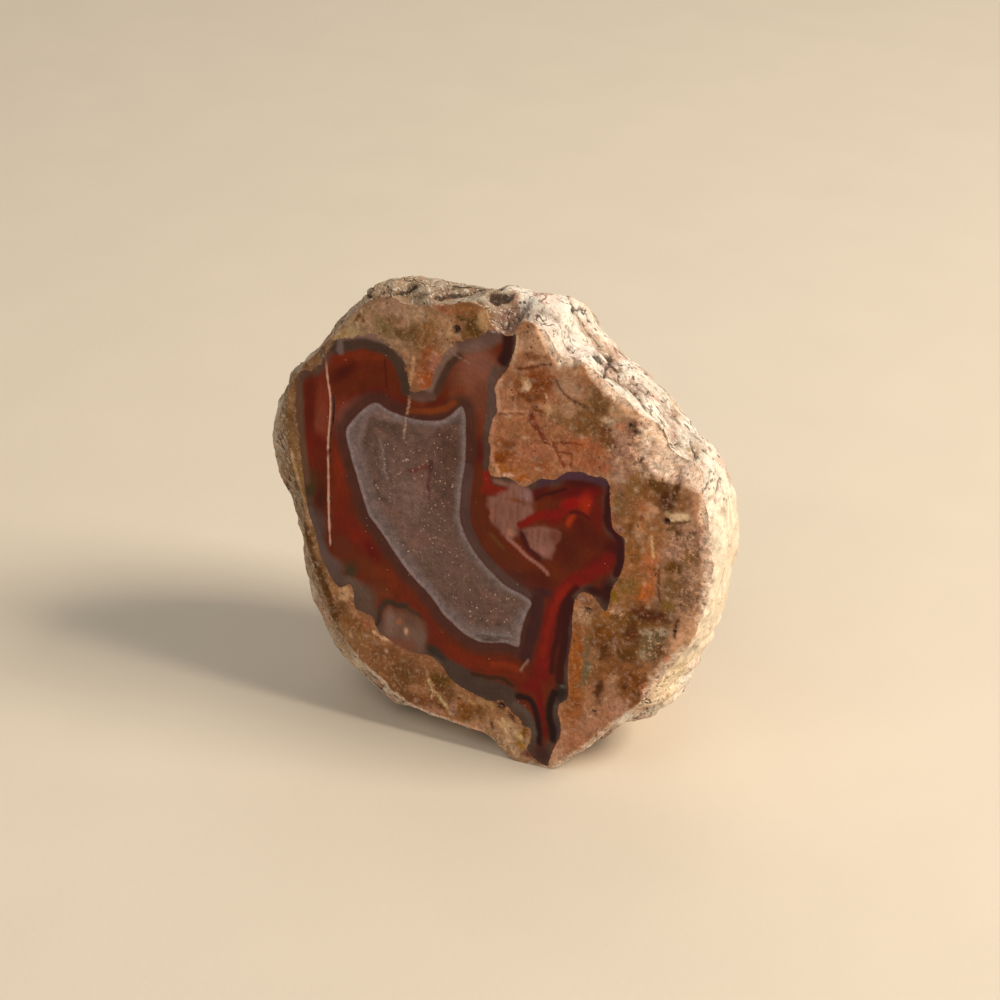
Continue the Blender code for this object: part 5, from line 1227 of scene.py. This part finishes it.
class Nodes:
    """Short ways to add nodes to one material."""

    def __init__(self, material):
        self.tree = material.node_tree
        self.tree.nodes.clear()

    def add(self, kind, **settings):
        node = self.tree.nodes.new(kind)
        for key, value in settings.items():
            setattr(node, key, value)
        return node

    def link(self, value, socket):
        """Sets the socket to a number or colour, or links it."""
        if isinstance(value, bpy.types.NodeSocket):
            self.tree.links.new(value, socket)
        elif isinstance(value, tuple) and len(value) == 3 and len(socket.default_value) == 4:
            socket.default_value = (*value, 1.0)
        else:
            socket.default_value = value

    def stored(self, name, output="Fac"):
        return self.add("ShaderNodeAttribute", attribute_name=name).outputs[output]

    def maths(self, operation, a, b=0.0, clamp=False):
        node = self.add("ShaderNodeMath", operation=operation, use_clamp=clamp)
        self.link(a, node.inputs[0])
        self.link(b, node.inputs[1])
        return node.outputs[0]

    def noise(self, place, size, detail=3.0, rough=0.55, seed=0.0):
        """Noise from 0 to 1 with lumps of the given size in millimetres."""
        node = self.add("ShaderNodeTexNoise", noise_dimensions="4D")
        self.link(place, node.inputs["Vector"])
        node.inputs["W"].default_value = seed
        node.inputs["Scale"].default_value = 1.0 / size
        node.inputs["Detail"].default_value = detail
        node.inputs["Roughness"].default_value = rough
        return node.outputs["Fac"]

    def cells(self, place, size, output="Distance", feature="F1"):
        node = self.add("ShaderNodeTexVoronoi", feature=feature)
        self.link(place, node.inputs["Vector"])
        node.inputs["Scale"].default_value = 1.0 / size
        return node.outputs[output]

    def span(self, value, low, high, start=0.0, end=1.0):
        """Maps low to high onto start to end, smoothly, and holds it beyond."""
        node = self.add("ShaderNodeMapRange", interpolation_type="SMOOTHSTEP")
        for socket, number in zip(node.inputs, (value, low, high, start, end)):
            self.link(number, socket)
        return node.outputs[0]

    def mix(self, amount, first, second, blend="MIX"):
        node = self.add("ShaderNodeMix", data_type="RGBA", blend_type=blend)
        self.link(amount, node.inputs["Factor"])
        self.link(first, node.inputs[6])
        self.link(second, node.inputs[7])
        return node.outputs[2]

    def along(self, place, sizes, turn=(0.0, 0.0, 0.0)):
        """The place turned, then measured in units of its own along each turned axis."""
        node = self.add("ShaderNodeMapping", vector_type="TEXTURE")
        self.link(place, node.inputs["Vector"])
        node.inputs["Scale"].default_value = sizes
        node.inputs["Rotation"].default_value = turn
        return node.outputs[0]

    def shifted(self, place, size, amount, seed=0.0):
        """The place moved about by noise, for ragged edges."""
        wave = self.add("ShaderNodeTexNoise", noise_dimensions="4D")
        self.link(place, wave.inputs["Vector"])
        wave.inputs["W"].default_value = seed
        wave.inputs["Scale"].default_value = 1.0 / size
        centred = self.add("ShaderNodeVectorMath", operation="SUBTRACT")
        self.link(wave.outputs["Color"], centred.inputs[0])
        centred.inputs[1].default_value = (0.5, 0.5, 0.5)
        scaled = self.add("ShaderNodeVectorMath", operation="SCALE")
        self.link(centred.outputs[0], scaled.inputs[0])
        scaled.inputs["Scale"].default_value = amount
        moved = self.add("ShaderNodeVectorMath", operation="ADD")
        self.link(place, moved.inputs[0])
        self.link(scaled.outputs[0], moved.inputs[1])
        return moved.outputs[0]

    def times(self, colour, factor):
        """The colour made lighter or darker by a number around 1."""
        node = self.add("ShaderNodeVectorMath", operation="SCALE")
        self.link(colour, node.inputs[0])
        self.link(factor, node.inputs["Scale"])
        return node.outputs[0]

    def chain(self, operation, *values):
        """Several values joined by one operation, such as the largest of them."""
        result = values[0]
        for value in values[1:]:
            result = self.maths(operation, result, value)
        return result

    def product(self, *values):
        return self.chain("MULTIPLY", *values)

    def fade(self, amount, inside, outside):
        """The inside value where the amount is 1, and the outside one where it is 0."""
        rest = self.maths("SUBTRACT", 1.0, amount)
        return self.maths("ADD", self.product(amount, inside), self.product(rest, outside))

    def stained(self, colour, mask, strength, stain):
        """The colour with a stain over it where the mask is above 0."""
        return self.mix(self.product(mask, strength), colour, tuple(stain))


# Colours of the fine marks: on the face as they are seen, on the rind as they are.
GROUND_WARM = (150, 74, 34)
GROUND_VEIN = (206, 166, 136)
GROUND_GRIT = (104, 68, 48)
GROUND_SALT = (226, 184, 150)
GROUND_PORE = (62, 40, 26)
# Painted glints of the agate.
AGATE_GLINT = (196, 158, 138)
CORE_HAZE = (136, 122, 128)
CORE_SPARK = (226, 192, 176)
CORE_HOLE = (50, 34, 30)
RIND_RUST = (176, 112, 88)
RIND_STREAK = (128, 94, 70)
RIND_FLAKE = (252, 244, 230)
# Dark specks of the rind, also used for the painted shade of its seams and hollows.
RIND_SPECK_AND_SHADE = (58, 42, 30)


def ground_look(n, place):
    """Mottled matrix of the face: soft clouds, grit, pale grains and dark pores."""
    colour = n.stored("ground_tint", "Color")
    colour = n.times(colour, n.span(n.noise(place, 1.9, 5.0, 0.62, 1.0), 0.3, 0.7, 0.76, 1.24))
    colour = n.times(colour, n.span(n.noise(place, 0.6, 4.0, 0.7, 2.0), 0.3, 0.7, 0.74, 1.26))
    warm = n.span(n.noise(place, 2.6, 3.0, 0.5, 3.0), 0.5, 0.72)
    colour = n.stained(colour, warm, 0.14, seen(GROUND_WARM))
    grains = n.cells(n.shifted(place, 1.1, 1.6, 4.0), 2.6, feature="DISTANCE_TO_EDGE")
    gaps = n.span(n.noise(place, 0.5, 3.0, 0.7, 5.0), 0.5, 0.6)
    veins = n.product(n.span(grains, 0.1, 0.02), gaps)
    return ground_grains(n, place, n.stained(colour, veins, 0.36, seen(GROUND_VEIN)))


def ground_grains(n, place, colour):
    """The matrix's colour with its grit, pale grains and dark pores."""
    broken = n.maths("SUBTRACT", 1.0, n.stored("gloss"))
    grit = n.span(n.noise(place, 0.5, 5.0, 0.85, 27.0), 0.54, 0.42)
    grit = n.product(grit, n.span(broken, 0.0, 0.7, 0.2, 0.6))
    colour = n.stained(colour, grit, 0.75, seen(GROUND_GRIT))
    salt = n.span(n.noise(place, 0.7, 4.0, 0.75, 8.0), 0.52, 0.6)
    amount = n.span(broken, 0.0, 0.8, 0.08, 0.75)
    colour = n.stained(colour, salt, amount, seen(GROUND_SALT))
    pores = n.span(n.cells(n.shifted(place, 0.4, 0.3, 9.0), 0.9), 0.26, 0.12)
    where = n.span(n.noise(place, 2.3, 3.0, 0.6, 6.0), 0.48, 0.62)
    pits = n.span(n.noise(n.shifted(place, 0.5, 0.4, 10.0), 0.6, 4.0, 0.75, 18.0), 0.44, 0.37)
    dark = n.maths("MAXIMUM", n.product(pores, where), n.product(pits, amount))
    return n.stained(colour, dark, 0.75, seen(GROUND_PORE))


def agate_look(n, place):
    """Banded agate: clear, even colour with faint bands and streaks along them, and small painted glints.
    """
    clouds = n.span(n.noise(place, 2.4, 3.0, 0.5, 11.0), 0.3, 0.7, 0.88, 1.12)
    streaks = n.span(n.noise(n.along(place, (0.3, 2.0, 1.0)), 1.0, 2.0, 0.5, 12.0), 0.3, 0.7, 0.93, 1.07)
    banding = n.maths("SINE", n.product(n.stored("core"), 7.0))
    bands = n.span(banding, -1.0, 1.0, 0.97, 1.03)
    colour = n.times(n.stored("agate_tint", "Color"), n.product(clouds, streaks, bands))
    # Painted glints: tiny bright points scattered in patches.
    glint_dots = n.span(n.cells(n.shifted(place, 0.4, 0.3, 13.0), 1.3), 0.09, 0.05)
    glint_patches = n.span(n.noise(place, 2.0, 2.0, 0.5, 14.0), 0.5, 0.58)
    return n.stained(colour, n.product(glint_dots, glint_patches), 0.6, seen(AGATE_GLINT))


def core_look(n, place):
    """Grey filled centre: cloudy, with fine glitter and pin holes."""
    colour = n.mix(0.08, n.stored("core_tint", "Color"), tuple(seen(CORE_HAZE)))
    colour = n.times(colour, n.span(n.noise(place, 1.5, 5.0, 0.65, 21.0), 0.3, 0.7, 0.75, 1.27))
    colour = n.times(colour, n.span(n.noise(place, 0.4, 3.0, 0.7, 22.0), 0.3, 0.7, 0.78, 1.22))
    thick = n.span(n.stored("glitter"), 0.0, 0.7, 0.16, 1.0)
    thick = n.product(thick, n.span(n.stored("core"), 0.8, 1.8))
    uneven = n.product(n.maths("SUBTRACT", n.noise(place, 0.3, 2.0, 0.6, 29.0), 0.5), 0.9)
    dots = n.span(n.maths("ADD", n.cells(n.shifted(place, 0.4, 0.3, 23.0), 0.6), uneven), 0.25, 0.13)
    bright = n.span(n.noise(place, 0.6, 1.0, 0.5, 24.0), 0.47, 0.57)
    colour = n.stained(colour, n.product(dots, bright, thick), 0.8, seen(CORE_SPARK))
    holes = n.span(n.cells(n.shifted(place, 0.4, 0.3, 25.0), 0.95), 0.18, 0.11)
    pitted = n.span(n.noise(place, 1.2, 1.0, 0.5, 26.0), 0.52, 0.6)
    return n.stained(colour, n.product(holes, pitted, thick), 0.8, seen(CORE_HOLE))


# The way that streaks, specks and thread cracks run over the rind.
SLOPE_TURN = (0.0, 0.0, -0.6)


def rind_look(n, place):
    """Dry rind: dusty mottling, rusty stains, streaks, flakes, dark marks and painted shade in its seams
    and hollows; and where it is dark.
    """
    colour = n.stored("ground_tint", "Color")
    busy = n.span(n.stored("calm"), 0.0, 1.0, 1.0, 0.2)
    colour = n.times(colour, n.span(n.noise(place, 2.2, 5.0, 0.65, 31.0), 0.3, 0.7, 0.82, 1.1))
    colour = n.times(colour, n.span(n.noise(place, 0.4, 3.0, 0.7, 32.0), 0.25, 0.75, 0.84, 1.12))
    rust = n.span(n.noise(n.shifted(place, 1.0, 0.8, 33.0), 1.5, 4.0, 0.65, 34.0), 0.54, 0.66)
    colour = n.stained(colour, n.product(rust, busy), 0.5, linear(RIND_RUST))
    slope = n.along(place, (1.9, 0.8, 1.5), SLOPE_TURN)
    streaks = n.span(n.noise(slope, 0.6, 5.0, 0.75, 39.0), 0.47, 0.38)
    colour = n.stained(colour, n.product(streaks, busy), 0.6, linear(RIND_STREAK))
    flakes = n.span(n.noise(n.shifted(slope, 0.8, 0.7, 50.0), 0.45, 3.0, 0.7, 49.0), 0.55, 0.62)
    colour = n.stained(colour, flakes, 0.45, linear(RIND_FLAKE))
    dark = rind_marks(n, place, slope, busy)
    return n.stained(colour, dark, 0.82, linear(RIND_SPECK_AND_SHADE)), dark


def rind_marks(n, place, slope, busy):
    """From 0 to 1, how dark the rind is: specks, thread cracks, clefts, and painted shade in open seams and
    hollows.
    """
    cluster = n.span(n.noise(place, 3.2, 4.0, 0.65, 35.0), 0.47, 0.58)
    specks = n.span(n.cells(n.shifted(slope, 0.5, 0.5, 36.0), 0.8), 0.3, 0.16)
    sparse = n.span(n.noise(place, 2.6, 3.0, 0.6, 30.0), 0.5, 0.62)
    fine = n.span(n.cells(n.shifted(place, 0.3, 0.2, 40.0), 0.75), 0.22, 0.12)
    threads = n.maths("ABSOLUTE", n.maths("SUBTRACT", n.noise(slope, 3.0, 3.0, 0.5, 37.0), 0.5))
    gaps = n.span(n.noise(place, 4.4, 2.0, 0.5, 38.0), 0.42, 0.5)
    marks = n.chain(
        "MAXIMUM",
        n.product(specks, cluster),
        n.product(fine, sparse),
        n.product(n.span(threads, 0.012, 0.004), gaps),
        n.span(n.stored("cleft"), 0.035, 0.01),
    )
    # Painted shade in the seams and hollows, from the stored distance to their edge.
    torn = n.product(n.maths("SUBTRACT", n.noise(place, 0.7, 4.0, 0.7, 48.0), 0.5), 0.9)
    seam_shade = n.span(n.maths("ADD", n.stored("seam"), torn), 0.12, -0.1)
    return n.maths("MAXIMUM", n.product(marks, busy), seam_shade)


def where_agate(n, place):
    """From 0 to 1, how far each place is inside the agate, and inside its grey centre."""
    wobble = n.maths("SUBTRACT", n.noise(place, 0.7, 3.0, 0.6, 41.0), 0.5)
    edge = n.maths("ADD", n.stored("agate"), n.product(wobble, 0.5))
    core = n.maths("ADD", n.stored("core"), n.product(wobble, 0.25))
    return n.span(edge, -0.05, 0.07), n.span(core, -0.14, 0.14)


def stone_roughness(n, place, polish, in_agate):
    """Roughness: glossy agate, duller matrix, and dull rind and broken spots."""
    agate = n.span(n.noise(place, 1.5, 2.0, 0.5, 43.0), 0.3, 0.7, 0.13, 0.2)
    matrix = n.span(n.noise(place, 0.8, 3.0, 0.6, 42.0), 0.3, 0.7, 0.26, 0.5)
    rind = n.span(n.noise(place, 0.6, 3.0, 0.6, 44.0), 0.3, 0.7, 0.8, 0.98)
    gloss = n.product(n.stored("gloss"), polish)
    return n.fade(gloss, n.fade(in_agate, agate, matrix), rind)


def stone_relief(n, place, polish, dark):
    """Height of the fine grit: on the rind, and on the face only where it is broken."""
    grit = n.maths("ADD", n.noise(place, 0.5, 3.0, 0.7, 45.0), n.noise(place, 1.4, 2.0, 0.6, 46.0))
    broken = n.maths("SUBTRACT", 1.0, n.stored("gloss"))
    face = n.product(broken, 1.4, grit)
    rind = n.maths("SUBTRACT", grit, n.product(dark, 1.4))
    return n.fade(polish, face, rind)


def new_material(name):
    """A new material and the short ways to add its nodes."""
    material = bpy.data.materials.new(name)
    material.use_nodes = True
    return material, Nodes(material)


def add_shader(n, colour, roughness, height, bump_strength, bump_depth):
    """Adds bump, shader and output, which both materials end with, and returns the shader."""
    bump = n.add("ShaderNodeBump")
    bump.inputs["Strength"].default_value = bump_strength
    bump.inputs["Distance"].default_value = bump_depth * MM
    n.link(height, bump.inputs["Height"])
    shader = n.add("ShaderNodeBsdfPrincipled")
    n.link(colour, shader.inputs["Base Color"])
    n.link(roughness, shader.inputs["Roughness"])
    n.link(bump.outputs[0], shader.inputs["Normal"])
    output = n.add("ShaderNodeOutputMaterial")
    n.link(shader.outputs[0], output.inputs["Surface"])
    return shader


# Strength of each bump and its depth in millimetres, and how the stone takes light.
STONE_BUMP = (0.6, 0.22)
FLOOR_BUMP = (0.12, 0.3)
STONE_IOR = 1.54
STONE_SHINE = 0.16
FLOOR_ROUGHNESS = 0.8


def stone_material():
    """One material for the whole stone; stored values say where each kind of stone lies."""
    material, n = new_material("agate_stone")
    place, polish = n.stored("spot", "Vector"), n.stored("polish")
    in_agate, in_core = where_agate(n, place)
    rind, dark = rind_look(n, place)
    agate = n.mix(in_core, agate_look(n, place), core_look(n, place))
    colour = n.mix(polish, rind, n.mix(in_agate, ground_look(n, place), agate))
    roughness = stone_roughness(n, place, polish, in_agate)
    shader = add_shader(n, colour, roughness, stone_relief(n, place, polish, dark), *STONE_BUMP)
    shader.inputs["IOR"].default_value = STONE_IOR
    shader.inputs["Specular IOR Level"].default_value = STONE_SHINE
    return material


# The camera: lens, sensor, place in millimetres and turns in degrees.
LENS = 86.4
SENSOR = 36.0
CAMERA_PLACE = (132.29, -299.67, 215.65)
CAMERA_TILT = 61.0
CAMERA_TURN = 24.0


def make_camera():
    data = bpy.data.cameras.new("camera")
    data.lens = LENS
    data.sensor_width = SENSOR
    data.clip_start = 0.01
    camera = bpy.data.objects.new("camera", data)
    camera.location = Vector(CAMERA_PLACE) * MM
    camera.rotation_euler = (math.radians(CAMERA_TILT), 0.0, math.radians(CAMERA_TURN))
    bpy.context.scene.collection.objects.link(camera)
    bpy.context.scene.camera = camera


FLOOR_COLOUR = (223, 211, 192)
FLOOR_SIZE = 4.0


def floor_material():
    material, n = new_material("floor")
    place = n.add("ShaderNodeTexCoord").outputs["Object"]
    cloud = n.noise(place, 0.02, 1.0, 0.5, 51.0)
    colour = n.mix(cloud, tuple(linear(FLOOR_COLOUR) * 0.97), tuple(linear(FLOOR_COLOUR) * 1.03))
    grit = n.noise(place, 0.0012, 1.0, 0.6, 52.0)
    add_shader(n, colour, FLOOR_ROUGHNESS, grit, *FLOOR_BUMP)
    return material


def make_floor():
    half = FLOOR_SIZE / 2.0
    corners = [(-half, -half, 0.0), (half, -half, 0.0), (half, half, 0.0), (-half, half, 0.0)]
    mesh = bpy.data.meshes.new("floor")
    mesh.from_pydata(corners, [], [(0, 1, 2, 3)])
    floor = bpy.data.objects.new("floor", mesh)
    mesh.materials.append(floor_material())
    bpy.context.scene.collection.objects.link(floor)


# Lamps: azimuth and elevation in degrees, distance and size in metres, power in watts, colour.
KEY_LAMP = (101.0, 42.0, 0.9, 0.34, 8.6, (1.0, 0.89, 0.76))
FILL_LAMP = (-12.0, 50.0, 1.1, 0.9, 2.4, (1.0, 0.96, 0.9))
BACK_LAMP = (205.0, 45.0, 1.1, 0.8, 1.6, (1.0, 0.96, 0.9))
SKY_COLOUR = (0.9, 0.86, 0.8)
SKY_STRENGTH = 0.27
# The place in metres that the lamps face.
LAMP_AIM = (0.0, 0.0, 0.03)


def make_lamp(name, azimuth, elevation, distance, size, power, colour):
    """A square soft lamp that faces the stone."""
    data = bpy.data.lights.new(name, "AREA")
    data.size = size
    data.energy = power
    data.color = colour
    a, e = math.radians(azimuth), math.radians(elevation)
    way = Vector((math.sin(a) * math.cos(e), -math.cos(a) * math.cos(e), math.sin(e)))
    lamp = bpy.data.objects.new(name, data)
    lamp.location = way * distance + Vector(LAMP_AIM)
    lamp.rotation_euler = way.to_track_quat("Z", "Y").to_euler()
    bpy.context.scene.collection.objects.link(lamp)


def make_light():
    make_lamp("key", *KEY_LAMP)
    make_lamp("fill", *FILL_LAMP)
    make_lamp("back", *BACK_LAMP)
    world = bpy.data.worlds.new("studio")
    world.use_nodes = True
    background = world.node_tree.nodes["Background"]
    background.inputs["Color"].default_value = (*SKY_COLOUR, 1.0)
    background.inputs["Strength"].default_value = SKY_STRENGTH
    bpy.context.scene.world = world
    bpy.context.scene.view_settings.view_transform = "Standard"


make_camera()
make_floor()
make_light()

stone = bpy.data.objects.new("agate_nodule_half", build_stone())
stone.data.materials.append(stone_material())
bpy.context.scene.collection.objects.link(stone)
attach(stone, "root")
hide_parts("agate_nodule")

bpy.context.view_layer.update()
